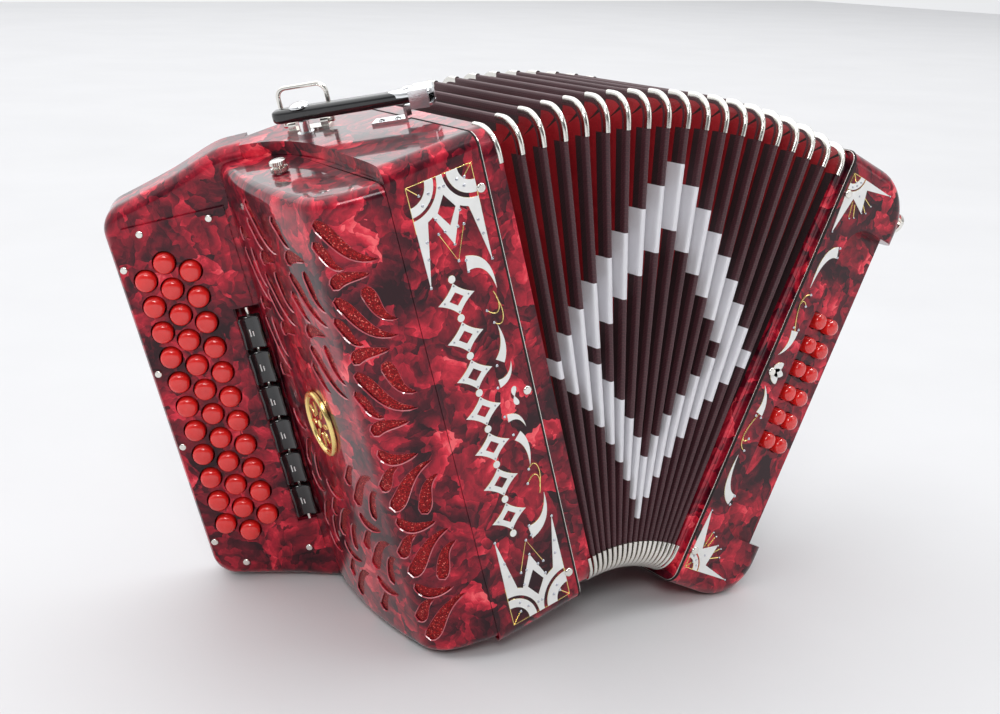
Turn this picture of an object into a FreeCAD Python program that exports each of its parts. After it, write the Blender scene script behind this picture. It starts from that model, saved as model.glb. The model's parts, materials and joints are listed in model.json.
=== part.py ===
"""Button accordion, standing half open on its treble and bass corners.

Three frames are used. The treble frame stands upright: x runs from the treble side to
the bass side, y from front to back, z up along the case. The leaf frames are the treble
frame fanned about a line below the bellows, one step per fold; the last one carries the
bass side. The row frame leans the whole instrument as it stands on a table: +X along the
bellows, +Y to the back, +Z up, origin at the centre of the box's bottom. Millimetres.
"""
import FreeCAD, Part
import math
import os

import Sketcher
from FreeCAD import Placement, Rotation, Vector

X_AXIS = Vector(1, 0, 0)
Y_AXIS = Vector(0, 1, 0)
Z_AXIS = Vector(0, 0, 1)

SIZES = {
    # stance and fan
    "lean_deg": 16.15,
    "fold_count": 17,
    "fan_step_deg": 2.36,
    "fan_centre_x": 10.0,
    "fan_centre_z": -81.5,
    "hinge_height": 10.0,
    "first_leaf_x": 9.9,
    # treble case
    "case_height": 324.0,
    "case_depth": 178.0,
    "case_left_x": -69.0,
    "case_seam_x": -4.5,
    "case_wall": 5.0,
    "case_round": 9.0,
    "soundboard_thick": 6.0,
    "soundboard_x": -57.0,
    # fingerboard
    "sweep_deg": 28.1,
    "row_x": -146.3,
    "row_y": 185.6,
    "board_thick": 28.0,
    "board_tip_u": 33.0,
    "board_root_u": -52.0,
    "board_round": 9.0,
    "pocket_deep": 20.0,
    "plate_thick": 2.0,
    "plate_low_z": 29.5,
    "plate_high_z": 288.5,
    # treble buttons
    "row_pitch": 14.85,
    "button_pitch": 18.5,
    "button_dia": 15.0,
    "button_rise": 7.5,
    "button_sunk": 3.0,
    "button_centre_z": 159.0,
    "hole_gap": 0.5,
    # register switches
    "switch_pitch": 25.9,
    "switch_long": 22.5,
    "switch_wide": 14.6,
    "switch_centre_z": 136.8,
    "switch_u": -42.3,
    "switch_axle_w": 1.0,
    "switch_axle_dia": 3.0,
    "shaft_gap": 0.08,
    # grille
    "grille_low_z": 5.0,
    "grille_high_z": 315.0,
    "flame_cut_deep": 22.0,
    "grille_wall": 3.0,
    # bellows
    "bellows_front_y": 3.0,
    "bellows_deep": 170.0,
    "bellows_low_z": 2.0,
    "bellows_tall": 320.0,
    "leaf_thick": 2.8,
    "leaf_band": 26.0,
    "leaf_round": 16.0,
    "guard_wide": 3.1,
    "guard_thick": 0.7,
    "guard_run": 6.0,
    "treble_frame_wide": 12.8,
    "bass_frame_wide": 5.7,
    "frame_band": 12.0,
    "frame_proud": 1.5,
    # bass case, measured in the last leaf's frame
    "bass_seam_x": 7.5,
    "bass_outer_x": 77.0,
    "bass_low_z": -2.0,
    "bass_tall": 323.0,
    "bass_corner": 35.0,
    "recess_x": 29.0,
    "recess_deep": 15.0,
    "recess_low_z": 43.0,
    "recess_high_z": 277.0,
    "recess_round": 20.0,
    "bass_button_dia": 12.0,
    "bass_button_rise": 8.0,
    "bass_button_pitch": 18.3,
    "bass_column_x": 47.7,
    "bass_column_gap": 13.1,
    "bass_centre_z": 160.7,
    # latch arm and strap brackets on top
    "arm_pivot_x": 2.0,
    "arm_pivot_y": 66.0,
    "arm_low_z": 333.5,
    "arm_thick": 9.0,
    "arm_wide": 11.0,
    "arm_reach": 98.0,
    "arm_stud_at": 79.0,
    "arm_turn_deg": 135.0,
    "bail_wide": 32.0,
    "bail_tall": 24.0,
    "bail_wire": 3.0,
}

doc = FreeCAD.newDocument("button_accordion")
sheet = doc.addObject("Spreadsheet::Sheet", "sizes")
for row, (alias, number) in enumerate(SIZES.items(), start=1):
    sheet.set("A%d" % row, alias)
    sheet.set("B%d" % row, str(number))
    sheet.setAlias("B%d" % row, alias)
doc.recompute()

sub_parts = []


def val(alias):
    """A driving dimension, read from the sheet."""
    return float(sheet.get(alias))


# ---------------------------------------------------------------- frames

TREBLE = Placement(Vector(0, 0, 0), Rotation(Y_AXIS, -val("lean_deg")))
IDENTITY = Placement()


def fanned(step):
    """The treble frame turned by a number of fan steps about the line below the bellows."""
    centre = Vector(val("fan_centre_x"), 0, val("fan_centre_z"))
    turn = Rotation(Y_AXIS, step * val("fan_step_deg"))
    return Placement(centre, turn) * Placement(-centre, Rotation())


def leaf_frame(number):
    """Frame of one bellows leaf: its mid plane is x = 0."""
    return TREBLE * fanned(number) * Placement(Vector(val("first_leaf_x"), 0, 0), Rotation())


def board_frame():
    """Frame of the swept fingerboard in the treble frame: u outwards, w above its face, z up."""
    middle_row = Vector(val("row_x"), val("row_y"), 0)
    return Placement(middle_row, Rotation(Z_AXIS, 180 - val("sweep_deg")))


def arm_frame():
    """Frame of the latch arm in the treble frame: x along the arm from its pivot, z up."""
    pivot = Vector(val("arm_pivot_x"), val("arm_pivot_y"), val("arm_low_z") + val("arm_thick") / 2)
    return Placement(pivot, Rotation(Z_AXIS, val("arm_turn_deg")))


BOARD = board_frame()
ARM = arm_frame()
LAST_LEAF = int(val("fold_count")) + 1
BASS = leaf_frame(LAST_LEAF)


# ---------------------------------------------------------------- shape helpers

def block(low, high):
    """A box between two corners."""
    return Part.makeBox(high[0] - low[0], high[1] - low[1], high[2] - low[2], Vector(*low))


def rod(start, along, diameter, length):
    """A cylinder from a point along a direction."""
    return Part.makeCylinder(diameter / 2, length, Vector(*start), along)


def prism(points, along):
    """A polygon of 3-D points extruded along a vector."""
    corners = [Vector(*point) for point in points]
    return Part.Face(Part.makePolygon(corners + corners[:1])).extrude(along)


def rounded(shape, radius, wanted):
    """Fillet every edge of a shape that the test picks by its centre and end points."""
    edges = []
    for edge in shape.Edges:
        ends = [vertex.Point for vertex in edge.Vertexes]
        if wanted(edge.CenterOfMass, ends):
            edges.append(edge)
    return shape.makeFillet(radius, edges)


def along_axis(ends, axis):
    """Whether an edge with these end points runs along one of the frame's axes (0, 1 or 2)."""
    if len(ends) < 2:
        return False
    run = ends[-1] - ends[0]
    others = [abs(run[other]) for other in range(3) if other != axis]
    return max(others) < 1e-4


def merged(shapes):
    """One solid from touching shapes."""
    return shapes[0].fuse(shapes[1:]).removeSplitter()


def feature(name, shape, frame):
    """A sub-part whose shape comes from Part's own functions."""
    own_place = shape.Placement
    obj = doc.addObject("Part::Feature", name)
    obj.Shape = shape
    return keep(obj, name, frame * own_place)


def keep(obj, label, frame):
    """List an object as a sub-part, with its label and its place."""
    obj.Label = label
    obj.Placement = frame
    sub_parts.append(obj)
    return obj


# ---------------------------------------------------------------- sketch helpers

def origin_plane(body, role):
    return next(item for item in body.Origin.OriginFeatures if item.Role == role)


def sketch_on(body, name, role, lift="0"):
    """An empty sketch on one of the body's own origin planes, lifted along its normal."""
    sketch = body.newObject("Sketcher::SketchObject", name)
    sketch.AttachmentSupport = [(origin_plane(body, role), "")]
    sketch.MapMode = "FlatFace"
    sketch.setExpression("AttachmentOffset.Base.z", lift)
    return sketch


def sketch_polygon(sketch, corners):
    """Closed straight outline; every corner is tied to the origin by two expressions."""
    points = [(evaluate(across), evaluate(up)) for across, up in corners]
    first = sketch.GeometryCount
    count = len(points)
    for index, (x, y) in enumerate(points):
        nx, ny = points[(index + 1) % count]
        sketch.addGeometry(Part.LineSegment(Vector(x, y, 0), Vector(nx, ny, 0)))
    for index in range(count):
        following = first + (index + 1) % count
        sketch.addConstraint(Sketcher.Constraint("Coincident", first + index, 2, following, 1))
    for index, (across, up) in enumerate(corners):
        x, y = points[index]
        for kind, value, text in (("DistanceX", x, across), ("DistanceY", y, up)):
            number = sketch.addConstraint(
                Sketcher.Constraint(kind, -1, 1, first + index, 1, value))
            sketch.setExpression("Constraints[%d]" % number, text)


def evaluate(text):
    """The value of a sheet expression such as 'sizes.case_height - 2 * sizes.case_wall'."""
    return float(doc.getObject("sizes").evalExpression(text))


def rectangle(low_x, low_y, high_x, high_y):
    return [(low_x, low_y), (high_x, low_y), (high_x, high_y), (low_x, high_y)]


def pad(body, name, sketch, length):
    """Pad a sketch by a length given as an expression."""
    item = body.newObject("PartDesign::Pad", name)
    item.Profile = sketch
    item.setExpression("Length", length)
    sketch.Visibility = False
    doc.recompute()
    return item


def pocket_through(body, name, sketch):
    """Cut a sketch through the whole body, both ways."""
    item = body.newObject("PartDesign::Pocket", name)
    item.Profile = sketch
    item.Type = "ThroughAll"
    item.Midplane = True
    before = body.Shape.Volume
    doc.recompute()
    if body.Shape.Volume >= before:
        raise RuntimeError("pocket %s cuts nothing" % name)
    return item


def fillet_edges(body, name, radius, wanted):
    """PartDesign fillet on the edges of the body's tip that the test picks."""
    base = body.Tip
    names = []
    for index, edge in enumerate(base.Shape.Edges, start=1):
        ends = [vertex.Point for vertex in edge.Vertexes]
        if wanted(edge.CenterOfMass, ends):
            names.append("Edge%d" % index)
    item = body.newObject("PartDesign::Fillet", name)
    item.Base = (base, names)
    item.setExpression("Radius", radius)
    doc.recompute()
    return item


def drilled_board(label, corner, lengths, holes, frame):
    """A box bound to the sheet, with a set of holes cut through it."""
    board = doc.addObject("Part::Box", label + "_blank")
    for axis, text in zip(("x", "y", "z"), corner):
        board.setExpression("Placement.Base." + axis, text)
    for side, text in zip(("Length", "Width", "Height"), lengths):
        board.setExpression(side, text)
    drills = doc.addObject("Part::Feature", label + "_holes")
    drills.Shape = Part.makeCompound(holes)
    cut = doc.addObject("Part::Cut", label + "_cut")
    cut.Base = board
    cut.Tool = drills
    doc.recompute()
    return keep(cut, label, frame)


# ---------------------------------------------------------------- treble case

LIP_POINTS = [(0, 0), (3, 14), (5, 45), (7, 84), (3, 120), (-6, 141), (-18, 154)]


def lip_curve(shift):
    """The case's left wall in plan, from the front corner back to the fingerboard's root."""
    left = val("case_left_x") - shift
    spline = Part.BSplineCurve()
    spline.interpolate([Vector(left + x, y, 0) for x, y in LIP_POINTS])
    return spline.toShape()


def bellows_pin_places(seam_x):
    """Points on the front face where the pins hold the bellows frame, and on the back face."""
    heights = (25.0, val("case_height") / 2 - 3, val("case_height") - 32)
    return [(seam_x, z) for z in heights]


def treble_case():
    """Open-sided case; its left wall bends round the grille and has the soundboard window."""
    depth = val("case_depth")
    height = val("case_height")
    seam = val("case_seam_x")
    wall = val("case_wall")
    lip = lip_curve(0)
    root = lip.valueAt(lip.LastParameter)
    corners = [Vector(root), Vector(root.x + 17, depth, 0), Vector(seam, depth, 0),
               Vector(seam, 0, 0), lip.valueAt(lip.FirstParameter)]
    outline = Part.Wire([lip, *Part.makePolygon(corners).Edges])
    solid = Part.Face(outline).extrude(Vector(0, 0, height))
    at_end = lambda z: z < 0.01 or z > height - 0.01
    at_front_or_back = lambda y: y < 0.01 or y > depth - 0.01
    solid = rounded(solid, val("case_round"),
                    lambda mid, ends: at_end(mid.z) and at_front_or_back(mid.y))
    board_side = val("soundboard_x")
    inside = block((board_side, wall, wall), (seam + 1, depth - wall, height - wall))
    window = block((-100, 16, 18), (board_side + 1, 126, height - 18))
    solid = solid.cut(inside).cut(window)
    for x, z in bellows_pin_places(seam - 5):
        solid = solid.cut(rod((x, -1, z), Y_AXIS, 2.6, 20)).cut(rod((x, depth - 19, z), Y_AXIS, 2.6, 20))
    return feature("treble_case", solid, TREBLE)


def treble_soundboard():
    """Pallet board that closes the window, with a tone hole for every pallet."""
    face = val("soundboard_x")
    through = face + val("soundboard_thick") + 1
    holes = []
    for centre_y, heights in pallet_rows().values():
        for z in heights:
            holes.append(block((face - 1, centre_y - 11, z - 4.5), (through, centre_y + 11, z + 4.5)))
    corner = ("sizes.soundboard_x", "sizes.case_wall + 0.3", "sizes.case_wall + 0.3")
    lengths = ("sizes.soundboard_thick", "sizes.case_depth - 2 * sizes.case_wall - 0.6",
               "sizes.case_height - 2 * sizes.case_wall - 0.6")
    return drilled_board("treble_soundboard", corner, lengths, holes, TREBLE)


def pallet_rows():
    """Each pallet row's middle depth and heights: one pallet for every button of its row."""
    middle = val("case_height") / 2
    rows = {}
    for name, centre_y, count in (("inner", 34.0, 11), ("middle", 70.0, 12), ("outer", 106.0, 11)):
        pitch = 23.0
        heights = [middle + (index - (count - 1) / 2) * pitch for index in range(count)]
        rows[name] = (centre_y, heights)
    return rows


def treble_pallets(name):
    """Felted pallets of one button row, resting on the soundboard's grille side."""
    centre_y, heights = pallet_rows()[name]
    face = val("soundboard_x")
    pads = []
    for z in heights:
        felt = block((face - 3.2, centre_y - 14, z - 7), (face - 0.2, centre_y + 14, z + 7))
        rib = block((face - 4.6, centre_y - 12, z - 1.5), (face - 3.2, centre_y + 12, z + 1.5))
        pads.append(merged([felt, rib]))
    return feature("treble_pallets_" + name, Part.makeCompound(pads), TREBLE)


def treble_reed_blocks():
    """Three reed blocks that stand on the soundboard, tapered towards the bellows."""
    foot_x = val("soundboard_x") + val("soundboard_thick") + 0.1
    tip_x = foot_x + 38
    blocks = []
    for centre_y, _ in pallet_rows().values():
        section = [(foot_x, centre_y - 13, 22), (foot_x, centre_y + 13, 22),
                   (tip_x, centre_y + 7, 22), (tip_x, centre_y - 7, 22)]
        blocks.append(prism(section, Vector(0, 0, val("case_height") - 44)))
    return feature("treble_reed_blocks", Part.makeCompound(blocks), TREBLE)


# ---------------------------------------------------------------- fingerboard

def board_outline():
    """The fingerboard from its face: S-curved ends and round tip corners, in the board's frame."""
    middle = val("case_height") / 2
    tip = val("board_tip_u")
    turn = 19.0
    slope = Vector(0.972, 0, 0.233)
    knots = [(-58, 162), (-46, 160), (-22, 151.5), (0, 145.4), (tip - turn + 0.233 * turn, 140.7)]
    centre = 140.7 - 0.972 * turn
    halfway = 0.8
    edges = [Part.makeLine(Vector(-110, 0, middle - 162), Vector(-110, 0, middle + 162)),
             Part.makeLine(Vector(tip, 0, middle - centre), Vector(tip, 0, middle + centre))]
    for side in (1, -1):
        spline = Part.BSplineCurve()
        spline.interpolate(Points=[Vector(u, 0, middle + side * half) for u, half in knots],
                           InitialTangent=Vector(1, 0, 0),
                           FinalTangent=Vector(slope.x, 0, -side * slope.z))
        on_arc = Vector(tip - turn + turn * math.sin(halfway), 0,
                        middle + side * (centre + turn * math.cos(halfway)))
        start = Vector(knots[-1][0], 0, middle + side * knots[-1][1])
        end = Vector(tip, 0, middle + side * centre)
        edges.append(spline.toShape())
        edges.append(Part.Arc(start, on_arc, end).toShape())
        edges.append(Part.makeLine(Vector(-110, 0, middle + side * 162), Vector(-58, 0, middle + side * 162)))
    return Part.Face(Part.Wire(Part.__sortEdges__(edges)))


def fingerboard():
    """Swept board behind the buttons: hollow under the button plate, slotted for the switches."""
    thick = val("board_thick")
    face_root = BOARD.multVec(Vector(val("board_root_u"), 0, 0))
    face_far = BOARD.multVec(Vector(val("board_tip_u") + 20, 0, 0))
    back_far = BOARD.multVec(Vector(val("board_tip_u") + 20, -thick, 0))
    back_kink = Vector(val("case_left_x") - 1, val("case_depth"), 0)
    lip = lip_curve(0.2)
    lip_end = lip.valueAt(lip.LastParameter)
    plan = Part.makePolygon([lip_end, face_root, face_far, back_far, back_kink, lip_end])
    slab = Part.Face(plan).extrude(Vector(0, 0, val("case_height")))
    outline = board_outline().extrude(Vector(0, 80, 0))
    outline.Placement = BOARD * Placement(Vector(0, -60, 0), Rotation())
    solid = slab.common(outline)
    to_board = BOARD.inverse()

    def on_rim(mid, ends):
        places = [to_board.multVec(point) for point in ends]
        on_face = all(abs(place.y) < 0.05 for place in places)
        on_back = all(abs(place.y + thick) < 0.05 for place in places)
        return (on_face or on_back) and all(place.x > val("board_root_u") - 9 for place in places) and (
            to_board.multVec(mid).x > val("board_root_u") + 1)

    solid = rounded(solid, val("board_round"), on_rim)
    hollow = block((-32.5, -val("pocket_deep"), 34), (25, 1, 284))
    slot = block((-50.4, -8, 56), (-34.4, 1, 218))
    for cutter in (hollow, slot):
        cutter.Placement = BOARD
        solid = solid.cut(cutter)
    axle = rod((val("switch_u"), val("switch_axle_w"), 52), Z_AXIS, val("switch_axle_dia"), 170)
    holes = [rod((u, -8, z), Y_AXIS, 2.2, 10) for u, z in plate_screw_places()]
    for cutter in [axle] + holes:
        cutter.Placement = BOARD * cutter.Placement
        solid = solid.cut(cutter)
    return feature("fingerboard", solid, TREBLE)


def plate_screw_places():
    """Two screws at each end of the button plate and four along its outer edge."""
    return [(9.5, 283.0), (-36.0, 283.0), (26.2, 262.0), (26.2, 186.7),
            (26.2, 131.0), (26.2, 54.5), (9.5, 33.2), (-36.0, 33.2)]


def button_rows():
    """Each treble row: its distance across the board and its buttons' heights."""
    rows = {}
    for name, across, count in (("outer", 1, 11), ("middle", 0, 12), ("inner", -1, 11)):
        heights = [val("button_centre_z") + (index - (count - 1) / 2) * val("button_pitch")
                   for index in range(count)]
        rows[name] = (across * val("row_pitch"), heights)
    return rows


def button_plate():
    """Thin plate on the board's face with a hole for each button and a notch for the switches."""
    low = val("plate_low_z")
    high = val("plate_high_z")
    thick = val("plate_thick")
    outline = [(-47, low), (20, low), (29.5, low + 9.5), (29.5, high - 9.5), (20, high), (-47, high),
               (-47, 219), (-33.6, 219), (-33.6, 55), (-47, 55)]
    plate = prism([(u, 0.05, z) for u, z in outline], Vector(0, thick, 0))
    for across, heights in button_rows().values():
        for z in heights:
            hole = rod((across, -1, z), Y_AXIS, val("button_dia") + 2 * val("hole_gap"), thick + 3)
            plate = plate.cut(hole)
    for u, z in plate_screw_places():
        plate = plate.cut(rod((u, -1, z), Y_AXIS, 2.6, thick + 3))
    return feature("button_plate", plate, TREBLE * BOARD)


def screw(foot, along, head_dia, head_high, shank_dia, shank_long):
    """Round-headed screw: the shank ends at the foot of the head, where it meets the surface."""
    head = rod(foot, along, head_dia, head_high)
    head = rounded(head, head_high * 0.6, lambda mid, ends: (mid - Vector(*foot)).dot(along) > head_high / 2
                   and len(ends) == 1)
    start = Vector(*foot) - along * shank_long
    return merged([head, rod(tuple(start), along, shank_dia, shank_long + head_high / 2)])


def button_plate_screws():
    foot_w = val("plate_thick") + 0.05
    screws = [screw((u, foot_w, z), Y_AXIS, 5.0, 1.6, 2.1, 8) for u, z in plate_screw_places()]
    return feature("button_plate_screws", Part.makeCompound(screws), TREBLE * BOARD)


def round_button(across, z):
    """Round button with a rounded top edge and a short stem below the plate."""
    radius = val("button_dia") / 2
    rise = val("button_rise")
    sunk = val("button_sunk")
    stem = rod((across, -sunk, z), Y_AXIS, 2 * radius, sunk + rise)
    return rounded(stem, 2.2, lambda mid, ends: mid.y > rise - 0.01 or ends[0].y > rise - 0.01)


def treble_buttons(name):
    across, heights = button_rows()[name]
    buttons = [round_button(across, z) for z in heights]
    return feature("treble_buttons_" + name, Part.makeCompound(buttons), TREBLE * BOARD)


def switch_heights():
    return [val("switch_centre_z") + (2.5 - index) * val("switch_pitch") for index in range(6)]


def register_switch(number, z):
    """Rocker tab with raised ends, bored for the common axle."""
    half = val("switch_wide") / 2
    u = val("switch_u")
    outline = [(u - half, 2), (u - half, 7.5), (u - half + 3, 7.5), (u - 2, 5.6), (u + 2, 5.6),
               (u + half - 3, 8.5), (u + half, 8.5), (u + half, 2), (u + 4, -1.4), (u - 4, -1.4)]
    length = val("switch_long")
    tab = prism([(across, up, z - length / 2) for across, up in outline], Vector(0, 0, length))
    tab = rounded(tab, 0.8, lambda mid, ends: mid.y > 4 and abs(mid.z - z) > length / 2 - 0.01)
    bore = rod((u, val("switch_axle_w"), z - length), Z_AXIS,
               val("switch_axle_dia") + 2 * val("shaft_gap"), 2 * length)
    return feature("register_switch_%d" % number, tab.cut(bore), TREBLE * BOARD)


def switch_axle():
    """Rod that all six register tabs rock on; its ends sit in the board."""
    body = doc.addObject("PartDesign::Body", "switch_axle_body")
    sketch = sketch_on(body, "axle_circle", "XY_Plane", "sizes.switch_centre_z - 81.4")
    sketch.addGeometry(Part.Circle(Vector(val("switch_u"), val("switch_axle_w"), 0), Z_AXIS, 1.5))
    for kind, alias in (("DistanceX", "switch_u"), ("DistanceY", "switch_axle_w")):
        number = sketch.addConstraint(Sketcher.Constraint(kind, -1, 1, 0, 3, val(alias)))
        sketch.setExpression("Constraints[%d]" % number, "sizes." + alias)
    number = sketch.addConstraint(Sketcher.Constraint("Diameter", 0, val("switch_axle_dia")))
    sketch.setExpression("Constraints[%d]" % number, "sizes.switch_axle_dia - 0.04")
    pad(body, "axle_pad", sketch, "163")
    return keep(body, "switch_axle", TREBLE * BOARD)


# ---------------------------------------------------------------- grille

def moved_inwards(arc_points, inset):
    """The three points of an arc, moved towards its centre."""
    centre = Part.Arc(*arc_points).toShape().Curve.Center
    moved = []
    for point in arc_points:
        outward = (point - centre).normalize()
        moved.append(point - outward * inset)
    return moved


def grille_outline(inset):
    """The grille in plan: slanted front, round corner, bowed left side; closed along the lip."""
    root = BOARD.multVec(Vector(val("board_root_u"), 0.3, 0))
    corner_points = [Vector(-90, 7.5, 0), Vector(-104.5, 17.5, 0), Vector(-110, 34, 0)]
    side_points = [Vector(-110, 34, 0), Vector(-111.5, 97, 0), Vector(root.x - 2, root.y - 2, 0)]
    corner_points = moved_inwards(corner_points, inset)
    side_points = moved_inwards(side_points, inset)
    corner_points[2] = side_points[0]
    left = val("case_left_x") - 0.4 - inset
    if inset > 0:
        lip_points = [Vector(left, 1.43 * inset, 0)]
        lip_points += [Vector(left + x, y, 0) for x, y in LIP_POINTS[1:-1]]
        lip_points.append(Vector(left - 12, 150, 0))
        lip_edges = Part.makePolygon(lip_points).Edges
    else:
        lip = lip_curve(0.4)
        lip_points = [lip.valueAt(lip.FirstParameter), lip.valueAt(lip.LastParameter)]
        lip_edges = [lip]
    front = Part.makeLine(lip_points[0], corner_points[0])
    corner = Part.Arc(*corner_points).toShape()
    side = Part.Arc(*side_points).toShape()
    foot_points = [side_points[-1], lip_points[-1]] if inset > 0 else [side_points[-1], root, lip_points[-1]]
    foot_edges = Part.makePolygon(foot_points).Edges
    return Part.Wire(Part.__sortEdges__([front, corner, side, *foot_edges, *lip_edges]))


def flame(size):
    """A curled flame outline about the origin in a flat x-y plane, pointing up."""
    half = 0.5 * size
    left = [(0, -half), (-0.34 * half, -0.35 * half), (-0.12 * half, 0.3 * half), (0.3 * half, half)]
    right = [(0.3 * half, half), (0.32 * half, 0.45 * half), (0.2 * half, -0.2 * half), (0, -half)]
    edges = []
    for points in (left, right):
        spline = Part.BSplineCurve()
        spline.interpolate([Vector(x, y, 0) for x, y in points])
        edges.append(spline.toShape())
    return Part.Face(Part.Wire(edges))


def flame_cutters():
    """Flame openings through the grille's left side and front, mirrored about mid height."""
    middle = (val("grille_low_z") + val("grille_high_z")) / 2
    cutters = []
    for column, y in enumerate((48, 68, 88, 108, 128, 146)):
        for row in range(4):
            reach = 22 + row * 34 + (column % 2) * 17
            if reach > 138 or (row == 0 and 60 < y < 100):
                continue
            for side in (1, -1):
                cutters.append(placed_flame(30, (-125, y, middle + side * reach), 90, side))
    for x, first in ((-80, 14), (-92, 28)):
        for reach in range(first, 141, 29):
            for side in (1, -1):
                cutters.append(placed_flame(24, (x, -6, middle + side * reach), 0, side))
    return cutters


def placed_flame(size, centre, turn_deg, side):
    """A flame prism that starts at a point and runs inwards through the grille's wall."""
    solid = flame(size).extrude(Vector(0, 0, val("flame_cut_deep")))
    upright = Rotation(X_AXIS, 90 if side > 0 else -90)
    aim = Rotation(Z_AXIS, -turn_deg)
    solid.Placement = Placement(Vector(*centre), aim * upright)
    box = solid.BoundBox
    if turn_deg == 0:
        solid.translate(Vector(0, centre[1] - box.YMin, 0))
    else:
        solid.translate(Vector(centre[0] - box.XMin, 0, 0))
    return solid


def grille():
    """Cover over the pallets: a shell closed above and below, open to the case, with flames."""
    low = val("grille_low_z")
    high = val("grille_high_z")
    wall = val("grille_wall")
    outer = Part.Face(grille_outline(0)).extrude(Vector(0, 0, high - low))
    outer.translate(Vector(0, 0, low))
    inner = Part.Face(grille_outline(wall)).extrude(Vector(0, 0, high - low - 2 * wall))
    inner.translate(Vector(0, 0, low + wall))
    open_side = inner.translated(Vector(6, 0, 0)).common(block((-90, 8, 0), (-40, 146, high)))
    solid = outer.cut(inner).cut(open_side)
    for cutter in flame_cutters():
        solid = solid.cut(cutter)
    biggest = max(solid.Solids, key=lambda piece: piece.Volume)
    return feature("grille", biggest, TREBLE)


def grille_mesh():
    """Fine mesh sheet close behind the flames, following the front, corner and left side."""
    low = val("grille_low_z") + val("grille_wall") + 0.4
    high = val("grille_high_z") - val("grille_wall") - 0.4
    sheet_outer = Part.Face(grille_outline(val("grille_wall") + 0.4))
    sheet_inner = Part.Face(grille_outline(val("grille_wall") + 1.2))
    band = sheet_outer.cut(sheet_inner).extrude(Vector(0, 0, high - low))
    band.translate(Vector(0, 0, low))
    keep_side = block((-130, -5, 0), (-80, 140, 400))
    band = band.common(keep_side)
    biggest = max(band.Solids, key=lambda piece: piece.Volume)
    return feature("grille_mesh", biggest, TREBLE)


def grille_thumbscrews():
    """Knurled thumbscrews that hold the grille, one on its top and one below."""
    pieces = []
    for z, way in ((val("grille_high_z"), 1), (val("grille_low_z"), -1)):
        neck = rod((-88, 96, z), Vector(0, 0, way), 6.5, 3.5)
        knob = rod((-88, 96, z + way * 3), Vector(0, 0, way), 12, 7.5 if way > 0 else 1.8)
        pieces.append(merged([neck, knob]))
    return feature("grille_thumbscrews", Part.makeCompound(pieces), TREBLE)


def grille_rosette():
    """Oval plate on the grille's left side."""
    middle = Vector(-112.6, 82, 158)
    ellipse = Part.Ellipse(Vector(0, 0, 0), 23, 16)
    oval = Part.Face(Part.Wire(ellipse.toShape())).extrude(Vector(0, 0, 2.2))
    upright = Rotation(Y_AXIS, -90)
    oval.Placement = Placement(middle, upright)
    return feature("grille_rosette", oval, TREBLE)


# ---------------------------------------------------------------- bellows

def bellows_ring(name, x_expr, wide_expr, grow_expr, band_expr, round_expr):
    """Rectangular ring around the bellows opening, thickness along x, with rounded corners."""
    body = doc.addObject("PartDesign::Body", name)
    outline = sketch_on(body, name + "_outline", "YZ_Plane", x_expr)
    front = "sizes.bellows_front_y - (%s)" % grow_expr
    back = "sizes.bellows_front_y + sizes.bellows_deep + (%s)" % grow_expr
    low = "sizes.bellows_low_z - (%s)" % grow_expr
    high = "sizes.bellows_low_z + sizes.bellows_tall + (%s)" % grow_expr
    sketch_polygon(outline, rectangle(front, low, back, high))
    pad(body, name + "_pad", outline, wide_expr)
    fillet_edges(body, name + "_corners", round_expr, lambda mid, ends: along_axis(ends, 0))
    opening = sketch_on(body, name + "_opening", "YZ_Plane", x_expr)
    sketch_polygon(opening, rectangle("%s + %s" % (front, band_expr), "%s + %s" % (low, band_expr),
                                      "%s - %s" % (back, band_expr), "%s - %s" % (high, band_expr)))
    pocket_through(body, name + "_cut", opening)
    return body


def corner_guards():
    """Four nickel strips bent round the corners of one leaf, just outside the card."""
    front = val("bellows_front_y")
    back = front + val("bellows_deep")
    low = val("bellows_low_z")
    high = low + val("bellows_tall")
    thick = val("guard_thick")
    wide = val("guard_wide")
    run = val("guard_run")
    tube = rounded(block((-wide / 2, front, low), (wide / 2, back, high)), val("leaf_round"),
                   lambda mid, ends: along_axis(ends, 0))
    core = rounded(block((-wide, front + thick, low + thick), (wide, back - thick, high - thick)),
                   val("leaf_round") - thick, lambda mid, ends: along_axis(ends, 0))
    hoop = tube.cut(core)
    pieces = []
    for corner_y in (front, back):
        for corner_z in (low, high):
            reach = block((-wide, corner_y - run, corner_z - run), (wide, corner_y + run, corner_z + run))
            pieces.append(hoop.common(reach).Solids[0])
    guards = doc.addObject("Part::Feature", "corner_guards")
    guards.Shape = Part.makeCompound(pieces)
    return guards


def bellows_leaves():
    """One rigid card with its guards, repeated for every fold of the bellows."""
    card = bellows_ring("bellows_card", "-sizes.leaf_thick / 2", "sizes.leaf_thick",
                        "-sizes.guard_thick - 0.1", "sizes.leaf_band", "sizes.leaf_round")
    guards = corner_guards()
    for number in range(1, LAST_LEAF):
        fold = doc.addObject("Part::Compound", "fold_%02d" % number)
        fold.Links = [card, guards]
        keep(fold, "bellows_fold_%02d" % number, leaf_frame(number))
    return card, guards


def bellows_frame(label, card, guards, ring, leaf_number):
    """Wooden end frame together with the leaf that is glued to it."""
    frame = doc.addObject("Part::Compound", label + "_group")
    frame.Links = [ring, card, guards]
    return keep(frame, label, leaf_frame(leaf_number))


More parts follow.
